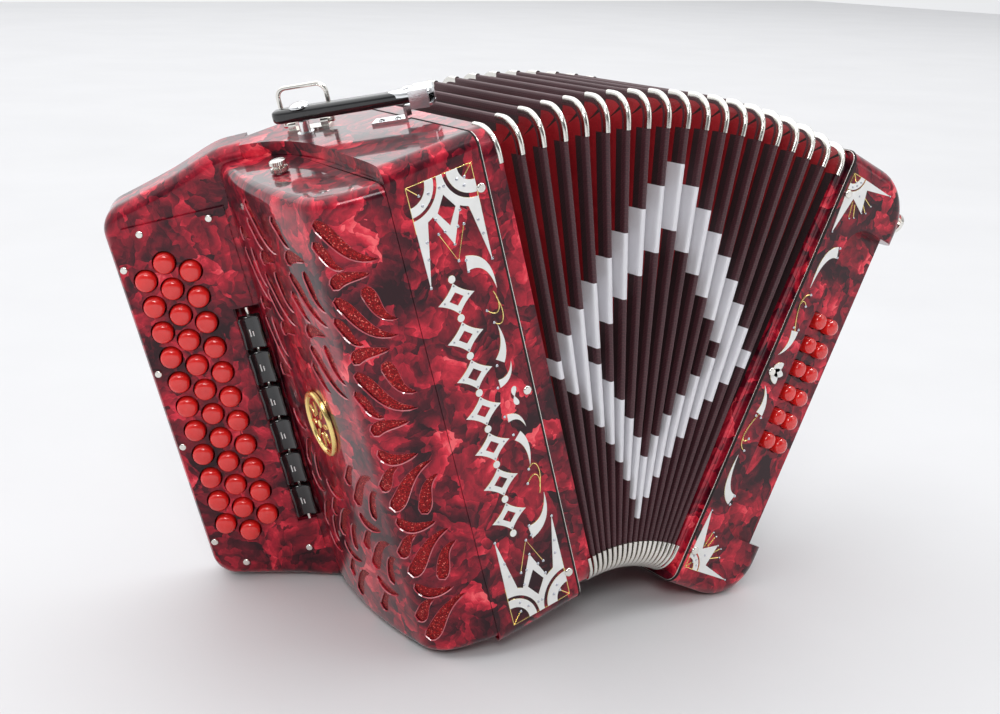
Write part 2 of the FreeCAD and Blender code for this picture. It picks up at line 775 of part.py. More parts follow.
def bellows_cloth():
    """Cloth gussets between neighbouring leaves: thin sleeves that close every gap."""
    inset = 18.0
    gap = val("leaf_thick") / 2 + 0.3
    front = val("bellows_front_y") + inset
    back = val("bellows_front_y") + val("bellows_deep") - inset
    low = val("bellows_low_z") + inset
    high = val("bellows_low_z") + val("bellows_tall") - inset

    def loop(frame, x, shrink):
        corners = [Vector(x, front + shrink, low + shrink), Vector(x, back - shrink, low + shrink),
                   Vector(x, back - shrink, high - shrink), Vector(x, front + shrink, high - shrink)]
        placed = [frame.multVec(corner) for corner in corners]
        return Part.makePolygon(placed + placed[:1])

    sleeves = []
    for number in range(LAST_LEAF):
        here = leaf_frame(number)
        there = leaf_frame(number + 1)
        outer = Part.makeLoft([loop(here, gap, 0), loop(there, -gap, 0)], True, True)
        inner = Part.makeLoft([loop(here, gap - 1, 0.9), loop(there, 1 - gap, 0.9)], True, True)
        sleeves.append(outer.cut(inner))
    return feature("bellows_cloth", Part.makeCompound(sleeves), IDENTITY)


def bellows_pins(label, x, frame):
    """Nickel pins that hold the bellows frame in the case, front and back."""
    depth = val("case_depth")
    pins = []
    for across, z in bellows_pin_places(x):
        pins.append(screw((across, -0.05, z), Vector(0, -1, 0), 6.0, 1.8, 2.4, 4.5))
        pins.append(screw((across, depth + 0.05, z), Y_AXIS, 6.0, 1.8, 2.4, 4.5))
    return feature(label, Part.makeCompound(pins), frame)


# ---------------------------------------------------------------- latch arm and strap brackets

def latch_bracket():
    """Stepped strip on the case top that carries the arm's pivot, and the post the arm rests on."""
    top = val("case_height") - (val("arm_low_z") + val("arm_thick") / 2)
    half = val("arm_wide") / 2
    under = -val("arm_thick") / 2
    base = block((12, -5, top + 0.05), (34, 5, top + 1.8))
    riser = block((10.4, -5, top + 0.05), (12, 5, under - 0.4))
    shelf = block((-7, -5, under - 2.0), (12, 5, under - 0.4))
    ears = [block((-6, side * (half + 1.6) - 1.3, under - 2.0), (6, side * (half + 1.6) + 1.3, 5))
            for side in (1, -1)]
    ties = [block((-6, min(side * 4.5, side * (half + 2)), under - 2.0),
                  (6, max(side * 4.5, side * (half + 2)), under - 0.4)) for side in (1, -1)]
    pin = rod((0, -half - 3.4, 0), Y_AXIS, 3.0, 2 * half + 6.8)
    bracket = merged([base, riser, shelf, pin] + ears + ties)
    stud = val("arm_stud_at")
    post = merged([rod((stud, 0, top + 0.05), Z_AXIS, 7.0, under - 0.3 - top - 0.05),
                   rod((stud, 0, top + 0.05), Z_AXIS, 11.0, 2.0)])
    return feature("latch_bracket", Part.makeCompound([bracket, post]), TREBLE * ARM)


def latch_arm():
    """Flat arm with round ends, bored for its pivot, with a capped stud near its free end."""
    half_thick = val("arm_thick") / 2
    half_wide = val("arm_wide") / 2
    reach = val("arm_reach")
    bar = block((0, -half_wide, -half_thick), (reach - half_wide, half_wide, half_thick))
    knuckle = rod((0, -half_wide, 0), Y_AXIS, val("arm_thick"), val("arm_wide"))
    tip = rod((reach - half_wide, 0, -half_thick), Z_AXIS, val("arm_wide"), val("arm_thick"))
    cap = rod((val("arm_stud_at"), 0, half_thick - 0.5), Z_AXIS, 12.0, 2.6)
    arm = merged([bar, knuckle, tip])
    arm = rounded(arm, 2.6, lambda mid, ends: abs(abs(mid.z) - half_thick) < 0.01 and mid.x > 20)
    bore = rod((0, -half_wide - 1, 0), Y_AXIS, 3.0 + 2 * val("shaft_gap"), val("arm_wide") + 2)
    return feature("latch_arm", merged([arm, cap]).cut(bore), TREBLE * ARM)


def bail_frames():
    """Frames of the two strap bails: x along the feet, z up the loop. Upper one and lower one."""
    upper = Placement(Vector(-46, 131, val("case_height") + 4.2), Rotation(Z_AXIS, 135))
    lower_turn = Rotation(Z_AXIS, 180) * Rotation(X_AXIS, 145)
    lower = Placement(Vector(-38, val("case_depth") + 4.2, 34), lower_turn)
    return upper, lower


def strap_bail(label, frame):
    """Wire loop on two feet with a top bar, open for the shoulder strap."""
    half = val("bail_wide") / 2
    tall = val("bail_tall")
    wire = val("bail_wire")
    bend = 6.0
    lean_in = bend * math.sin(math.radians(45))
    back = bend - lean_in
    path = [Part.makeLine(Vector(-half, 0, 0), Vector(-half, 0, tall - bend)),
            Part.Arc(Vector(-half, 0, tall - bend), Vector(-half + back, 0, tall - back),
                     Vector(-half + bend, 0, tall)).toShape(),
            Part.makeLine(Vector(-half + bend, 0, tall), Vector(half - bend, 0, tall)),
            Part.Arc(Vector(half - bend, 0, tall), Vector(half - back, 0, tall - back),
                     Vector(half, 0, tall - bend)).toShape(),
            Part.makeLine(Vector(half, 0, tall - bend), Vector(half, 0, 0))]
    section = Part.Wire(Part.Circle(Vector(-half, 0, 0), Z_AXIS, wire / 2).toShape())
    loop = Part.Wire(path).makePipeShell([section], True, False)
    feet = [rod((side * half, 0, 0), Vector(-side, 0, 0), wire, 6.0) for side in (1, -1)]
    knees = [Part.makeSphere(wire / 2, Vector(side * half, 0, 0)) for side in (1, -1)]
    return feature(label, merged([loop] + feet + knees), frame)


def strap_bracket_bases():
    """A plate with two knuckles under each bail; the bail's feet turn in the knuckles."""
    half = val("bail_wide") / 2
    bore = val("bail_wire") + 2 * val("shaft_gap")
    bases = []
    for spot, (frame, flip) in enumerate(zip(bail_frames(), (0, 145))):
        plate = block((-half + 2, -5, -4.1), (half - 2, 5, -2.4))
        parts = [plate]
        for side in (1, -1):
            low_x = min(side * (half - 2.6), side * (half - 7.6))
            knuckle = merged([rod((low_x, 0, 0), X_AXIS, 6.0, 5.0),
                              block((low_x, -3, -3), (low_x + 5, 3, 0))])
            parts.append(knuckle)
        base = merged(parts)
        for side in (1, -1):
            start = min(side * (half + 1), side * (half - 6.3))
            base = base.cut(rod((start, 0, 0), X_AXIS, bore, 7.3))
        base = base.removeSplitter()
        turn_back = Rotation(X_AXIS, -flip) * Rotation(X_AXIS, 90 if spot else 0)
        base.Placement = frame.multiply(Placement(Vector(0, 0, 0), turn_back))
        bases.append(base)
    return feature("strap_bracket_bases", Part.makeCompound(bases), TREBLE)


# ---------------------------------------------------------------- bass side

def bass_outline(inset):
    """Bass case seen from the front: square at the seam, two large round outer corners."""
    left = val("bass_seam_x")
    right = val("bass_outer_x") - inset
    low = val("bass_low_z") + inset
    high = val("bass_low_z") + val("bass_tall") - inset
    turn = val("bass_corner") - inset
    dip = turn * (1 - math.sin(math.radians(45)))
    edges = [Part.makeLine(Vector(left, 0, low), Vector(right - turn, 0, low)),
             Part.Arc(Vector(right - turn, 0, low), Vector(right - dip, 0, low + dip),
                      Vector(right, 0, low + turn)).toShape(),
             Part.makeLine(Vector(right, 0, low + turn), Vector(right, 0, high - turn)),
             Part.Arc(Vector(right, 0, high - turn), Vector(right - dip, 0, high - dip),
                      Vector(right - turn, 0, high)).toShape(),
             Part.makeLine(Vector(right - turn, 0, high), Vector(left, 0, high)),
             Part.makeLine(Vector(left, 0, high), Vector(left, 0, low))]
    return Part.Face(Part.Wire(edges))


def bass_recess():
    """Shallow step along the outer front edge, between the two horns, that holds the buttons."""
    cutter = block((val("recess_x"), -2, val("recess_low_z")),
                   (val("bass_outer_x") + 20, val("recess_deep"), val("recess_high_z")))
    return rounded(cutter, val("recess_round"),
                   lambda mid, ends: along_axis(ends, 1) and mid.x < val("recess_x") + 1)


def bass_button_places():
    """Column name to its x; and the six heights that both columns share."""
    columns = {"inner": val("bass_column_x"),
               "outer": val("bass_column_x") + val("bass_column_gap")}
    heights = [val("bass_centre_z") + (index - 2.5) * val("bass_button_pitch") for index in range(6)]
    return columns, heights


def bass_case():
    depth = val("case_depth")
    wall = val("case_wall")
    solid = bass_outline(0).extrude(Vector(0, depth, 0))
    at_front_or_back = lambda y: y < 0.01 or y > depth - 0.01
    solid = rounded(solid, val("case_round"), lambda mid, ends: at_front_or_back(mid.y)
                    and mid.x > val("bass_seam_x") + 1)
    solid = solid.cut(bass_recess())
    cavity_front = val("recess_deep") + 5
    cavity = bass_outline(7).extrude(Vector(0, depth - wall - cavity_front, 0))
    cavity.translate(Vector(-2, cavity_front, 0))
    solid = solid.cut(cavity)
    solid = solid.cut(block((val("bass_outer_x") - 10, 24, 44), (val("bass_outer_x") + 5, 162, 276)))
    columns, heights = bass_button_places()
    for x in columns.values():
        for z in heights:
            hole_dia = val("bass_button_dia") + 2 * val("hole_gap")
            solid = solid.cut(rod((x, 0, z), Y_AXIS, hole_dia, cavity_front + 6))
    for x, z in bellows_pin_places(val("bass_seam_x") + 5):
        solid = solid.cut(rod((x, -1, z), Y_AXIS, 2.6, 20)).cut(rod((x, depth - 19, z), Y_AXIS, 2.6, 20))
    solid = solid.cut(rod((val("bass_outer_x") - 20, 15.5, 296), X_AXIS, 11, 30))
    solid = solid.cut(rod((50, 90, 300), Z_AXIS, 5.16, 30))
    return feature("bass_case", solid, BASS)


def bass_cover():
    """Removable panel in the bass case's outer wall, under the hand strap."""
    body = doc.addObject("PartDesign::Body", "bass_cover_body")
    outline = sketch_on(body, "cover_outline", "YZ_Plane", "sizes.bass_outer_x - 5")
    sketch_polygon(outline, rectangle("24.3", "44.3", "161.7", "275.7"))
    pad(body, "cover_pad", outline, "4")
    return keep(body, "bass_cover", BASS)


def bass_soundboard():
    """Board that carries the bass reed blocks, with six tone holes for each block."""
    holes = []
    for centre_y in (60, 125):
        for index in range(6):
            low_z = 40 + index * 42
            holes.append(block((40, centre_y - 9, low_z), (50, centre_y + 9, low_z + 12)))
    corner = ("42", "20.3", "sizes.bass_low_z + 9.3")
    lengths = ("5", "sizes.case_depth - 30.6", "sizes.bass_tall - 18.6")
    return drilled_board("bass_soundboard", corner, lengths, holes, BASS)


def bass_reed_blocks():
    """Two reed blocks on the bellows side of the bass soundboard."""
    blocks = []
    for centre_y in (60, 125):
        section = [(41.9, centre_y - 16, 30), (41.9, centre_y + 16, 30),
                   (9, centre_y + 9, 30), (9, centre_y - 9, 30)]
        blocks.append(prism(section, Vector(0, 0, 260)))
    return feature("bass_reed_blocks", Part.makeCompound(blocks), BASS)


def bass_buttons(name):
    """One column of round bass buttons standing in the recess."""
    columns, heights = bass_button_places()
    floor_y = val("recess_deep")
    rise = val("bass_button_rise")
    buttons = []
    for z in heights:
        stem = rod((columns[name], floor_y + 1, z), Vector(0, -1, 0), val("bass_button_dia"), rise + 1)
        buttons.append(rounded(stem, 1.4, lambda mid, ends: mid.y < floor_y - rise + 0.1 and len(ends) == 1))
    return feature("bass_buttons_" + name, Part.makeCompound(buttons), BASS)


def air_button():
    """Air release button on the outer face near the front, for the player's thumb."""
    start = (val("bass_outer_x") - 6, 15.5, 296)
    stem = rod(start, X_AXIS, 10.0, 12.5)
    cap = rod((val("bass_outer_x") + 5.0, 15.5, 296), X_AXIS, 15.0, 3.0)
    return feature("air_button", merged([stem, cap]), BASS)


def bass_hand_strap():
    """Leather band arched over the outer side, fixed at both ends."""
    face = val("bass_outer_x") + 0.3
    low = Vector(face, 0, 22)
    high = Vector(face, 0, 298)
    crown = Vector(face + 36, 0, 160)
    outer_arc = Part.Arc(Vector(face + 3, 0, 22), crown + Vector(3, 0, 0), Vector(face + 3, 0, 298))
    inner_arc = Part.Arc(low, crown, high)
    edges = [inner_arc.toShape(), outer_arc.toShape(),
             Part.makeLine(low, Vector(face + 3, 0, 22)), Part.makeLine(high, Vector(face + 3, 0, 298))]
    band = Part.Face(Part.Wire(Part.__sortEdges__(edges))).extrude(Vector(0, 62, 0))
    band.translate(Vector(0, 66, 0))
    return feature("bass_hand_strap", band, BASS)


def strap_adjuster_wheel():
    """Wheel on top of the bass case that tightens the hand strap."""
    top = val("bass_low_z") + val("bass_tall")
    wheel = rod((50, 90, top + 0.3), Z_AXIS, 18, 6)
    stem = rod((50, 90, top - 10), Z_AXIS, 5.0, 12)
    return feature("strap_adjuster_wheel", merged([wheel, stem]), BASS)


# ---------------------------------------------------------------- assembly

def build():
    treble_case()
    treble_soundboard()
    treble_reed_blocks()
    for name in ("outer", "middle", "inner"):
        treble_pallets(name)
    fingerboard()
    button_plate()
    button_plate_screws()
    for name in ("outer", "middle", "inner"):
        treble_buttons(name)
    for number, z in enumerate(switch_heights(), start=1):
        register_switch(number, z)
    switch_axle()
    grille()
    grille_mesh()
    grille_thumbscrews()
    grille_rosette()
    card, guards = bellows_leaves()
    treble_ring = bellows_ring(
        "treble_frame_ring", "sizes.case_seam_x + 0.1 - sizes.first_leaf_x", "sizes.treble_frame_wide",
        "sizes.frame_proud - 2", "sizes.frame_band", "sizes.leaf_round")
    bellows_frame("treble_bellows_frame", card, guards, treble_ring, 0)
    bass_ring = bellows_ring(
        "bass_frame_ring", "sizes.leaf_thick / 2 + 0.2", "sizes.bass_frame_wide",
        "sizes.frame_proud - 2", "sizes.frame_band", "sizes.leaf_round")
    bellows_frame("bass_bellows_frame", card, guards, bass_ring, LAST_LEAF)
    bellows_cloth()
    bellows_pins("treble_bellows_pins", val("case_seam_x") - 5, TREBLE)
    bellows_pins("bass_bellows_pins", val("bass_seam_x") + 5, BASS)
    latch_bracket()
    latch_arm()
    upper, lower = bail_frames()
    strap_bail("strap_bail_upper", TREBLE * upper)
    strap_bail("strap_bail_lower", TREBLE * lower)
    strap_bracket_bases()
    bass_case()
    bass_cover()
    bass_soundboard()
    bass_reed_blocks()
    for name in ("inner", "outer"):
        bass_buttons(name)
    air_button()
    bass_hand_strap()
    strap_adjuster_wheel()
    doc.recompute()


def check():
    """Stop if an object failed or a sub-part has no valid shape."""
    for obj in doc.Objects:
        if "Invalid" in obj.State or "Error" in obj.State:
            raise RuntimeError("failed object: " + obj.Name)
    for obj in sub_parts:
        if obj.Shape.isNull() or not obj.Shape.isValid() or obj.Shape.Volume <= 0:
            raise RuntimeError("bad shape: " + obj.Label)


def stand_on_origin():
    """Move every sub-part so that the row frame's origin is the bottom centre of the box."""
    box = FreeCAD.BoundBox()
    for obj in sub_parts:
        box.add(obj.Shape.optimalBoundingBox(False, False))
    shift = Vector(-(box.XMin + box.XMax) / 2, -(box.YMin + box.YMax) / 2, -box.ZMin)
    for obj in sub_parts:
        obj.Placement = Placement(shift, Rotation()) * obj.Placement
    return shift


def describe(shift):
    """Print the places that the moving parts turn about, in the row frame."""
    whole = Placement(shift, Rotation())
    hinge = Vector(0, 0, val("hinge_height"))
    for number in range(1, LAST_LEAF + 1):
        midway = whole * TREBLE * fanned(number - 0.5)
        point = midway.multVec(hinge + Vector(val("first_leaf_x"), 0, 0))
        print("fan hinge %d" % number, [round(value, 3) for value in point])
    for name, frame in (("treble", TREBLE), ("board", TREBLE * BOARD), ("arm", TREBLE * ARM),
                        ("bass", BASS), ("bail_upper", TREBLE * bail_frames()[0]),
                        ("bail_lower", TREBLE * bail_frames()[1])):
        placed = whole * frame
        print("frame", name, [round(value, 4) for value in placed.Matrix.A])


build()
check()
describe(stand_on_origin())
doc.recompute()
os.makedirs("parts", exist_ok=True)
for item in sub_parts:
    item.Shape.exportStep("parts/%s.step" % item.Label)
print("sub-parts written:", len(sub_parts))
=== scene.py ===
"""Looks of a button accordion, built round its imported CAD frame.

Pieces are drawn in millimetres in the frame of the part that they belong to, and a matrix puts
them into the row frame in metres. The treble frame has x towards the bass side, y to the back and
z up the case. Leaf frames are the treble frame fanned out about the fan's centre.
"""

import itertools
import json
import math

import bmesh
import bpy
import numpy as np
from mathutils import Matrix, Vector, geometry


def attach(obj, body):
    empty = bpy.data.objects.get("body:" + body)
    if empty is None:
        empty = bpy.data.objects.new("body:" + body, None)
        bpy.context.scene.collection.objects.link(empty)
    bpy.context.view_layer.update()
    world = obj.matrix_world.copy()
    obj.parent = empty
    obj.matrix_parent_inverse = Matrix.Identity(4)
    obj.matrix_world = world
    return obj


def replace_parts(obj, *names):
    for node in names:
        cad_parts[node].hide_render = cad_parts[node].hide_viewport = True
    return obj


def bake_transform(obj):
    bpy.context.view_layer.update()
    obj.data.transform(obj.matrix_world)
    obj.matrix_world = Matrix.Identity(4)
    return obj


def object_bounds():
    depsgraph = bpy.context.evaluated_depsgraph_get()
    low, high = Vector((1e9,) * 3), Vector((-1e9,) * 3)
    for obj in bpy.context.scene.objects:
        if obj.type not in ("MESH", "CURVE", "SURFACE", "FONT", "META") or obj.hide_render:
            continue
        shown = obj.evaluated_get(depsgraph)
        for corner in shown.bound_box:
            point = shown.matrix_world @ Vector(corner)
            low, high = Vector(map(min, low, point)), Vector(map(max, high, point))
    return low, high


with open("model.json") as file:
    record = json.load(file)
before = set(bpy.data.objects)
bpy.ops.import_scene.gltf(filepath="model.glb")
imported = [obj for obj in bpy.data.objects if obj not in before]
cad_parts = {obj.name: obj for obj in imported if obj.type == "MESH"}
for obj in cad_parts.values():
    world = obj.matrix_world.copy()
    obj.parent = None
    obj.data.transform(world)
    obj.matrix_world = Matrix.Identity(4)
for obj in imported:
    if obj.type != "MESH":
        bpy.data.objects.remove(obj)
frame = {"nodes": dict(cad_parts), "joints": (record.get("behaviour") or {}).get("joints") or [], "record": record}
cad_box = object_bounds()

# ---------------------------------------------------------------- driving dimensions, millimetres
REST_MOUNT = (-35.0, 89.0, 0.0)
FOLDS = 17
FAN_STEP = math.radians(2.36)
FAN_CENTRE = (10.0, -81.5)
FIRST_LEAF_X = 9.9

CASE_LEFT = -69.0
CASE_SEAM = -4.5
MIDDLE_Z = 160.0

LEAF_FRONT = 3.0
LEAF_BACK = 173.0
LEAF_LOW = 2.0
LEAF_HIGH = 322.0
LEAF_ROUND = 16.0
LEAF_HALF = 1.4
LEAF_TUCK = 0.3
EDGE_THIN = 0.74
EDGE_FULL_Z = 120.0
GUARD_HALF = 1.75
GUARD_RUN = 6.0
FOLD_DEEP = 32.0
TAPE_DEEP = 10.0
WHITE_DEEP = 21.0
TOLERANCE = 0.1

GRILLE_LOW = 5.0
GRILLE_HIGH = 315.0
GRILLE_ROUND = 7.0
GRILLE_WALL = 1.7

BOARD_AT = (-146.3, 185.6)
BOARD_SWEEP = math.radians(28.1)
ARM_AT = (2.0, 66.0, 338.0)
ARM_TURN = math.radians(135)
BRACKET_TOP = -12.3

MM = 0.001


# ---------------------------------------------------------------- frames
def joint(name):
    """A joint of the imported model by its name."""
    return next(found for found in frame["joints"] if found["name"] == name)


def axes(origin, across, back, up):
    """A frame from its origin and three directions."""
    turn = Matrix((across, back, up)).transposed().to_4x4()
    return Matrix.Translation(origin) @ turn


def treble_frame():
    """Millimetres in the treble frame to metres in the row frame."""
    up = Vector(joint("rock_switch_1")["axis"])
    back = Vector((0, 1, 0))
    turned = axes((0, 0, 0), back.cross(up), back, up) @ Matrix.Scale(MM, 4)
    rest = Vector(frame["record"]["mounts"][0]["pos_m"])
    return Matrix.Translation(rest - turned @ Vector(REST_MOUNT)) @ turned


TREBLE = treble_frame()
BOARD = TREBLE @ axes((*BOARD_AT, 0), (-math.cos(BOARD_SWEEP), math.sin(BOARD_SWEEP), 0),
                      (-math.sin(BOARD_SWEEP), -math.cos(BOARD_SWEEP), 0), (0, 0, 1))
ARM = TREBLE @ axes(ARM_AT, (math.cos(ARM_TURN), math.sin(ARM_TURN), 0),
                    (-math.sin(ARM_TURN), math.cos(ARM_TURN), 0), (0, 0, 1))


def leaf_frame(number):
    """Frame of a bellows leaf: 0 lies on the treble frame and 18 on the bass frame."""
    centre = Vector((FAN_CENTRE[0], 0, FAN_CENTRE[1]))
    fanned = Matrix.Rotation(number * FAN_STEP, 4, "Y")
    about = Matrix.Translation(centre) @ fanned @ Matrix.Translation(-centre)
    return TREBLE @ about @ Matrix.Translation((FIRST_LEAF_X, 0, 0))


BASS = leaf_frame(FOLDS + 1)


def leaf_body(number):
    """The body that a leaf rides on."""
    if number == 0:
        return "treble"
    return "bass" if number > FOLDS else "fold_%02d" % number


def front_plane(place, y, left, low):
    """Frame of a drawing on a face that looks forward: its x goes right and its y up."""
    return place @ axes((left, y, low), (1, 0, 0), (0, 0, 1), (0, -1, 0))


# ---------------------------------------------------------------- materials
class Finish:
    """A node material that is built up a node at a time."""

    def __init__(self, name, **values):
        self.material = bpy.data.materials.new(name)
        self.material.use_nodes = True
        self.nodes = self.material.node_tree.nodes
        self.links = self.material.node_tree.links
        self.shader = self.nodes["Principled BSDF"]
        self.place = self.add("ShaderNodeTexCoord").outputs["Object"]
        for socket, value in values.items():
            self.shader.inputs[socket.replace("_", " ")].default_value = value

    def add(self, kind, settings=None, **inputs):
        """A node with its settings, and inputs that are numbers or other nodes' outputs."""
        made = self.nodes.new(kind)
        for key, value in (settings or {}).items():
            setattr(made, key, value)
        for key, value in inputs.items():
            self.feed(value, made.inputs[key.replace("_", " ")])
        return made

    def feed(self, value, socket):
        """A number set on a socket, or another node's output linked to it."""
        if isinstance(value, bpy.types.NodeSocket):
            self.links.new(value, socket)
        else:
            socket.default_value = value

    def shade(self, **inputs):
        """Numbers or outputs for the shader itself."""
        for key, value in inputs.items():
            self.feed(value, self.shader.inputs[key.replace("_", " ")])

    def stretched(self, scale):
        """The object's coordinates at another scale along each axis."""
        made = self.add("ShaderNodeMapping", Vector=self.place, Scale=scale)
        return made.outputs["Vector"]

    def noise(self, scale, detail, rough=0.55, swirl=0.0, where=None):
        """Cloudy noise from 0 to 1."""
        made = self.add("ShaderNodeTexNoise", Vector=where or self.place, Scale=scale,
                        Detail=detail, Roughness=rough, Distortion=swirl)
        return made.outputs["Fac"]

    def cells(self, scale, output="Distance"):
        """Irregular cells: how far a point is from its cell's centre, or the cell's colour."""
        made = self.add("ShaderNodeTexVoronoi", Vector=self.place, Scale=scale)
        return made.outputs[output]

    def vector(self, operation, *values):
        """A vector sum; a dot product gives its number."""
        made = self.add("ShaderNodeVectorMath", {"operation": operation})
        for value, socket in zip(values, made.inputs):
            self.feed(value, socket)
        return made.outputs["Value" if operation == "DOT_PRODUCT" else "Vector"]

    def facets(self, scale, slope, where):
        """Crumpled foil: each cell has its own tone and shades off in its own direction."""
        cell = self.add("ShaderNodeTexVoronoi", Vector=where, Scale=scale)
        away = self.vector("SUBTRACT", where, cell.outputs["Position"])
        heading = self.vector("SUBTRACT", cell.outputs["Color"], (0.5, 0.5, 0.5))
        fall = self.maths("MULTIPLY", self.vector("DOT_PRODUCT", away, heading), slope)
        tone = self.add("ShaderNodeSeparateColor", Color=cell.outputs["Color"]).outputs["Red"]
        return self.maths("ADD", self.maths("MULTIPLY", tone, 0.3), fall)

    def maths(self, operation, first, second):
        """One sum of two values."""
        made = self.add("ShaderNodeMath", {"operation": operation})
        self.feed(first, made.inputs[0])
        self.feed(second, made.inputs[1])
        return made.outputs[0]

    def weighted(self, *shares):
        """The sum of values, each times its weight."""
        parts = [self.maths("MULTIPLY", value, weight) for value, weight in shares]
        total = parts[0]
        for part in parts[1:]:
            total = self.maths("ADD", total, part)
        return total

    def ramp(self, value, *stops):
        """Colour along a value: each stop is its place and its colour."""
        made = self.add("ShaderNodeValToRGB", Fac=value)
        band = made.color_ramp
        while len(band.elements) < len(stops):
            band.elements.new(0.5)
        for element, (where, colour) in zip(band.elements, stops):
            element.position = where
            element.color = (*colour, 1)
        return made.outputs["Color"]

    def spread(self, value, low, high):
        """A value from 0 to 1 spread over another range."""
        return self.add("ShaderNodeMapRange", Value=value, To_Min=low, To_Max=high).outputs[0]

    def bump(self, height, strength, distance):
        """Surface normals roughened by a height."""
        made = self.add("ShaderNodeBump", Height=height, Strength=strength, Distance=distance)
        return made.outputs["Normal"]


def pearl():
    """Red pearloid celluloid: crumpled flakes from maroon to bright red under clear gloss."""
    finish = Finish("red_pearl", Metallic=0.2, Roughness=0.3, Coat_Weight=1.0,
                    Coat_Roughness=0.02, Coat_IOR=1.3, Specular_IOR_Level=0.15)
    drift = finish.add("ShaderNodeTexNoise", Vector=finish.place, Scale=30.0, Detail=4.0)
    shifted = finish.vector("MULTIPLY_ADD", drift.outputs["Color"], (0.04, 0.04, 0.04),
                            finish.place)
    large = finish.facets(36.0, 42.0, shifted)
    small = finish.facets(120.0, 120.0, shifted)
    clouds = finish.noise(20.0, 5.0, 0.6, 1.8)
    streaks = finish.noise(70.0, 7.0, 0.7, 2.6, where=shifted)
    value = finish.weighted((large, 0.55), (small, 0.42), (clouds, 0.7), (streaks, 0.45))
    value = finish.maths("SUBTRACT", value, 0.21)
    colour = finish.ramp(value, (0.20, (0.022, 0.002, 0.006)), (0.36, (0.080, 0.004, 0.012)),
                         (0.50, (0.22, 0.007, 0.020)), (0.64, (0.44, 0.012, 0.032)),
                         (0.78, (0.76, 0.032, 0.062)), (0.94, (0.95, 0.13, 0.15)))
    finish.shade(Base_Color=colour)
    return finish.material


def metal(name, colour, rough):
    """Plated metal with faint polishing marks."""
    finish = Finish(name, Metallic=1.0, Base_Color=(*colour, 1))
    marks = finish.noise(420.0, 3.0, 0.6, where=finish.stretched((1, 1, 7)))
    smears = finish.noise(45.0, 4.0)
    finish.shade(Roughness=finish.spread(smears, rough * 0.7, rough * 1.6),
                 Normal=finish.bump(marks, 0.05, 0.0004))
    return finish.material


def glitter():
    """Glitter cloth behind the grille: dark red grains, a few painted bright pink as painted glints."""
    finish = Finish("red_glitter", Metallic=0.55, Roughness=0.34)
    grains = finish.cells(1500.0, "Color")
    grain_and_painted_glint = finish.add("ShaderNodeSeparateColor", Color=grains)
    # painted glints: grains whose tone is highest are painted bright pink in the base colour
    colour = finish.ramp(grain_and_painted_glint.outputs["Red"], (0.0, (0.13, 0.002, 0.004)),
                         (0.75, (0.36, 0.006, 0.010)), (0.93, (0.60, 0.02, 0.02)),
                         (0.985, (0.85, 0.20, 0.16)))
    finish.shade(Base_Color=colour, Normal=finish.bump(grain_and_painted_glint.outputs["Green"], 0.8, 0.0012))
    return finish.material


def woven(name, dark, light, thread, rough=0.62, sheen=0.25):
    """Woven tape: two thread directions over a dark ground."""
    finish = Finish(name, Roughness=rough, Sheen_Weight=sheen, Sheen_Roughness=0.4)
    finish.shader.inputs["Sheen Tint"].default_value = (0.75, 0.45, 0.48, 1)
    warp, weft = [finish.add("ShaderNodeTexWave", {"bands_direction": direction},
                             Vector=finish.place, Scale=thread, Distortion=1.5,
                             Detail=2.0).outputs["Fac"] for direction in ("Z", "DIAGONAL")]
    weave = finish.maths("MULTIPLY", warp, weft)
    wear = finish.noise(30.0, 5.0)
    tone = finish.weighted((weave, 0.5), (wear, 0.5))
    finish.shade(Base_Color=finish.ramp(tone, (0.15, dark), (0.75, light)),
                 Normal=finish.bump(weave, 0.25, 0.0004))
    return finish.material


def grained(name, dark, light, scale=900.0, rough=0.42, coat=0.15):
    """Leather or leatherette: pebbled grain with worn tone."""
    finish = Finish(name, Roughness=rough, Coat_Weight=coat, Coat_Roughness=0.3)
    grain = finish.cells(scale)
    tone = finish.noise(38.0, 5.0, 0.6)
    finish.shade(Base_Color=finish.ramp(tone, (0.3, dark), (0.7, light)),
                 Roughness=finish.spread(tone, rough * 0.85, rough * 1.25),
                 Normal=finish.bump(grain, 0.35, 0.0005))
    return finish.material


def moulded(name, dark, light, rough=0.12, coat=0.6):
    """Polished plastic with a little unevenness in tone and gloss."""
    finish = Finish(name, Coat_Weight=coat, Coat_Roughness=0.03)
    tone = finish.noise(60.0, 4.0)
    skin = finish.noise(900.0, 2.0)
    finish.shade(Base_Color=finish.ramp(tone, (0.3, dark), (0.7, light)),
                 Roughness=finish.spread(tone, rough * 0.7, rough * 1.5),
                 Normal=finish.bump(skin, 0.02, 0.0003))
    return finish.material


def wood(name, dark, light):
    """Straight-grained wood."""
    finish = Finish(name, Roughness=0.5)
    rings = finish.add("ShaderNodeTexWave", {"wave_type": "RINGS"},
                       Vector=finish.stretched((1, 1, 0.06)), Scale=120.0, Distortion=3.0,
                       Detail=4.0).outputs["Fac"]
    finish.shade(Base_Color=finish.ramp(rings, (0.2, dark), (0.8, light)),
                 Normal=finish.bump(rings, 0.15, 0.0005))
    return finish.material


def shop_floor():
    """Pale, faintly mottled sweep."""
    finish = Finish("pale_sweep", Roughness=0.55)
    tone = finish.noise(3.0, 4.0)
    finish.shade(Base_Color=finish.ramp(tone, (0.3, (0.66, 0.66, 0.67)),
                                        (0.7, (0.69, 0.69, 0.70))))
    return finish.material


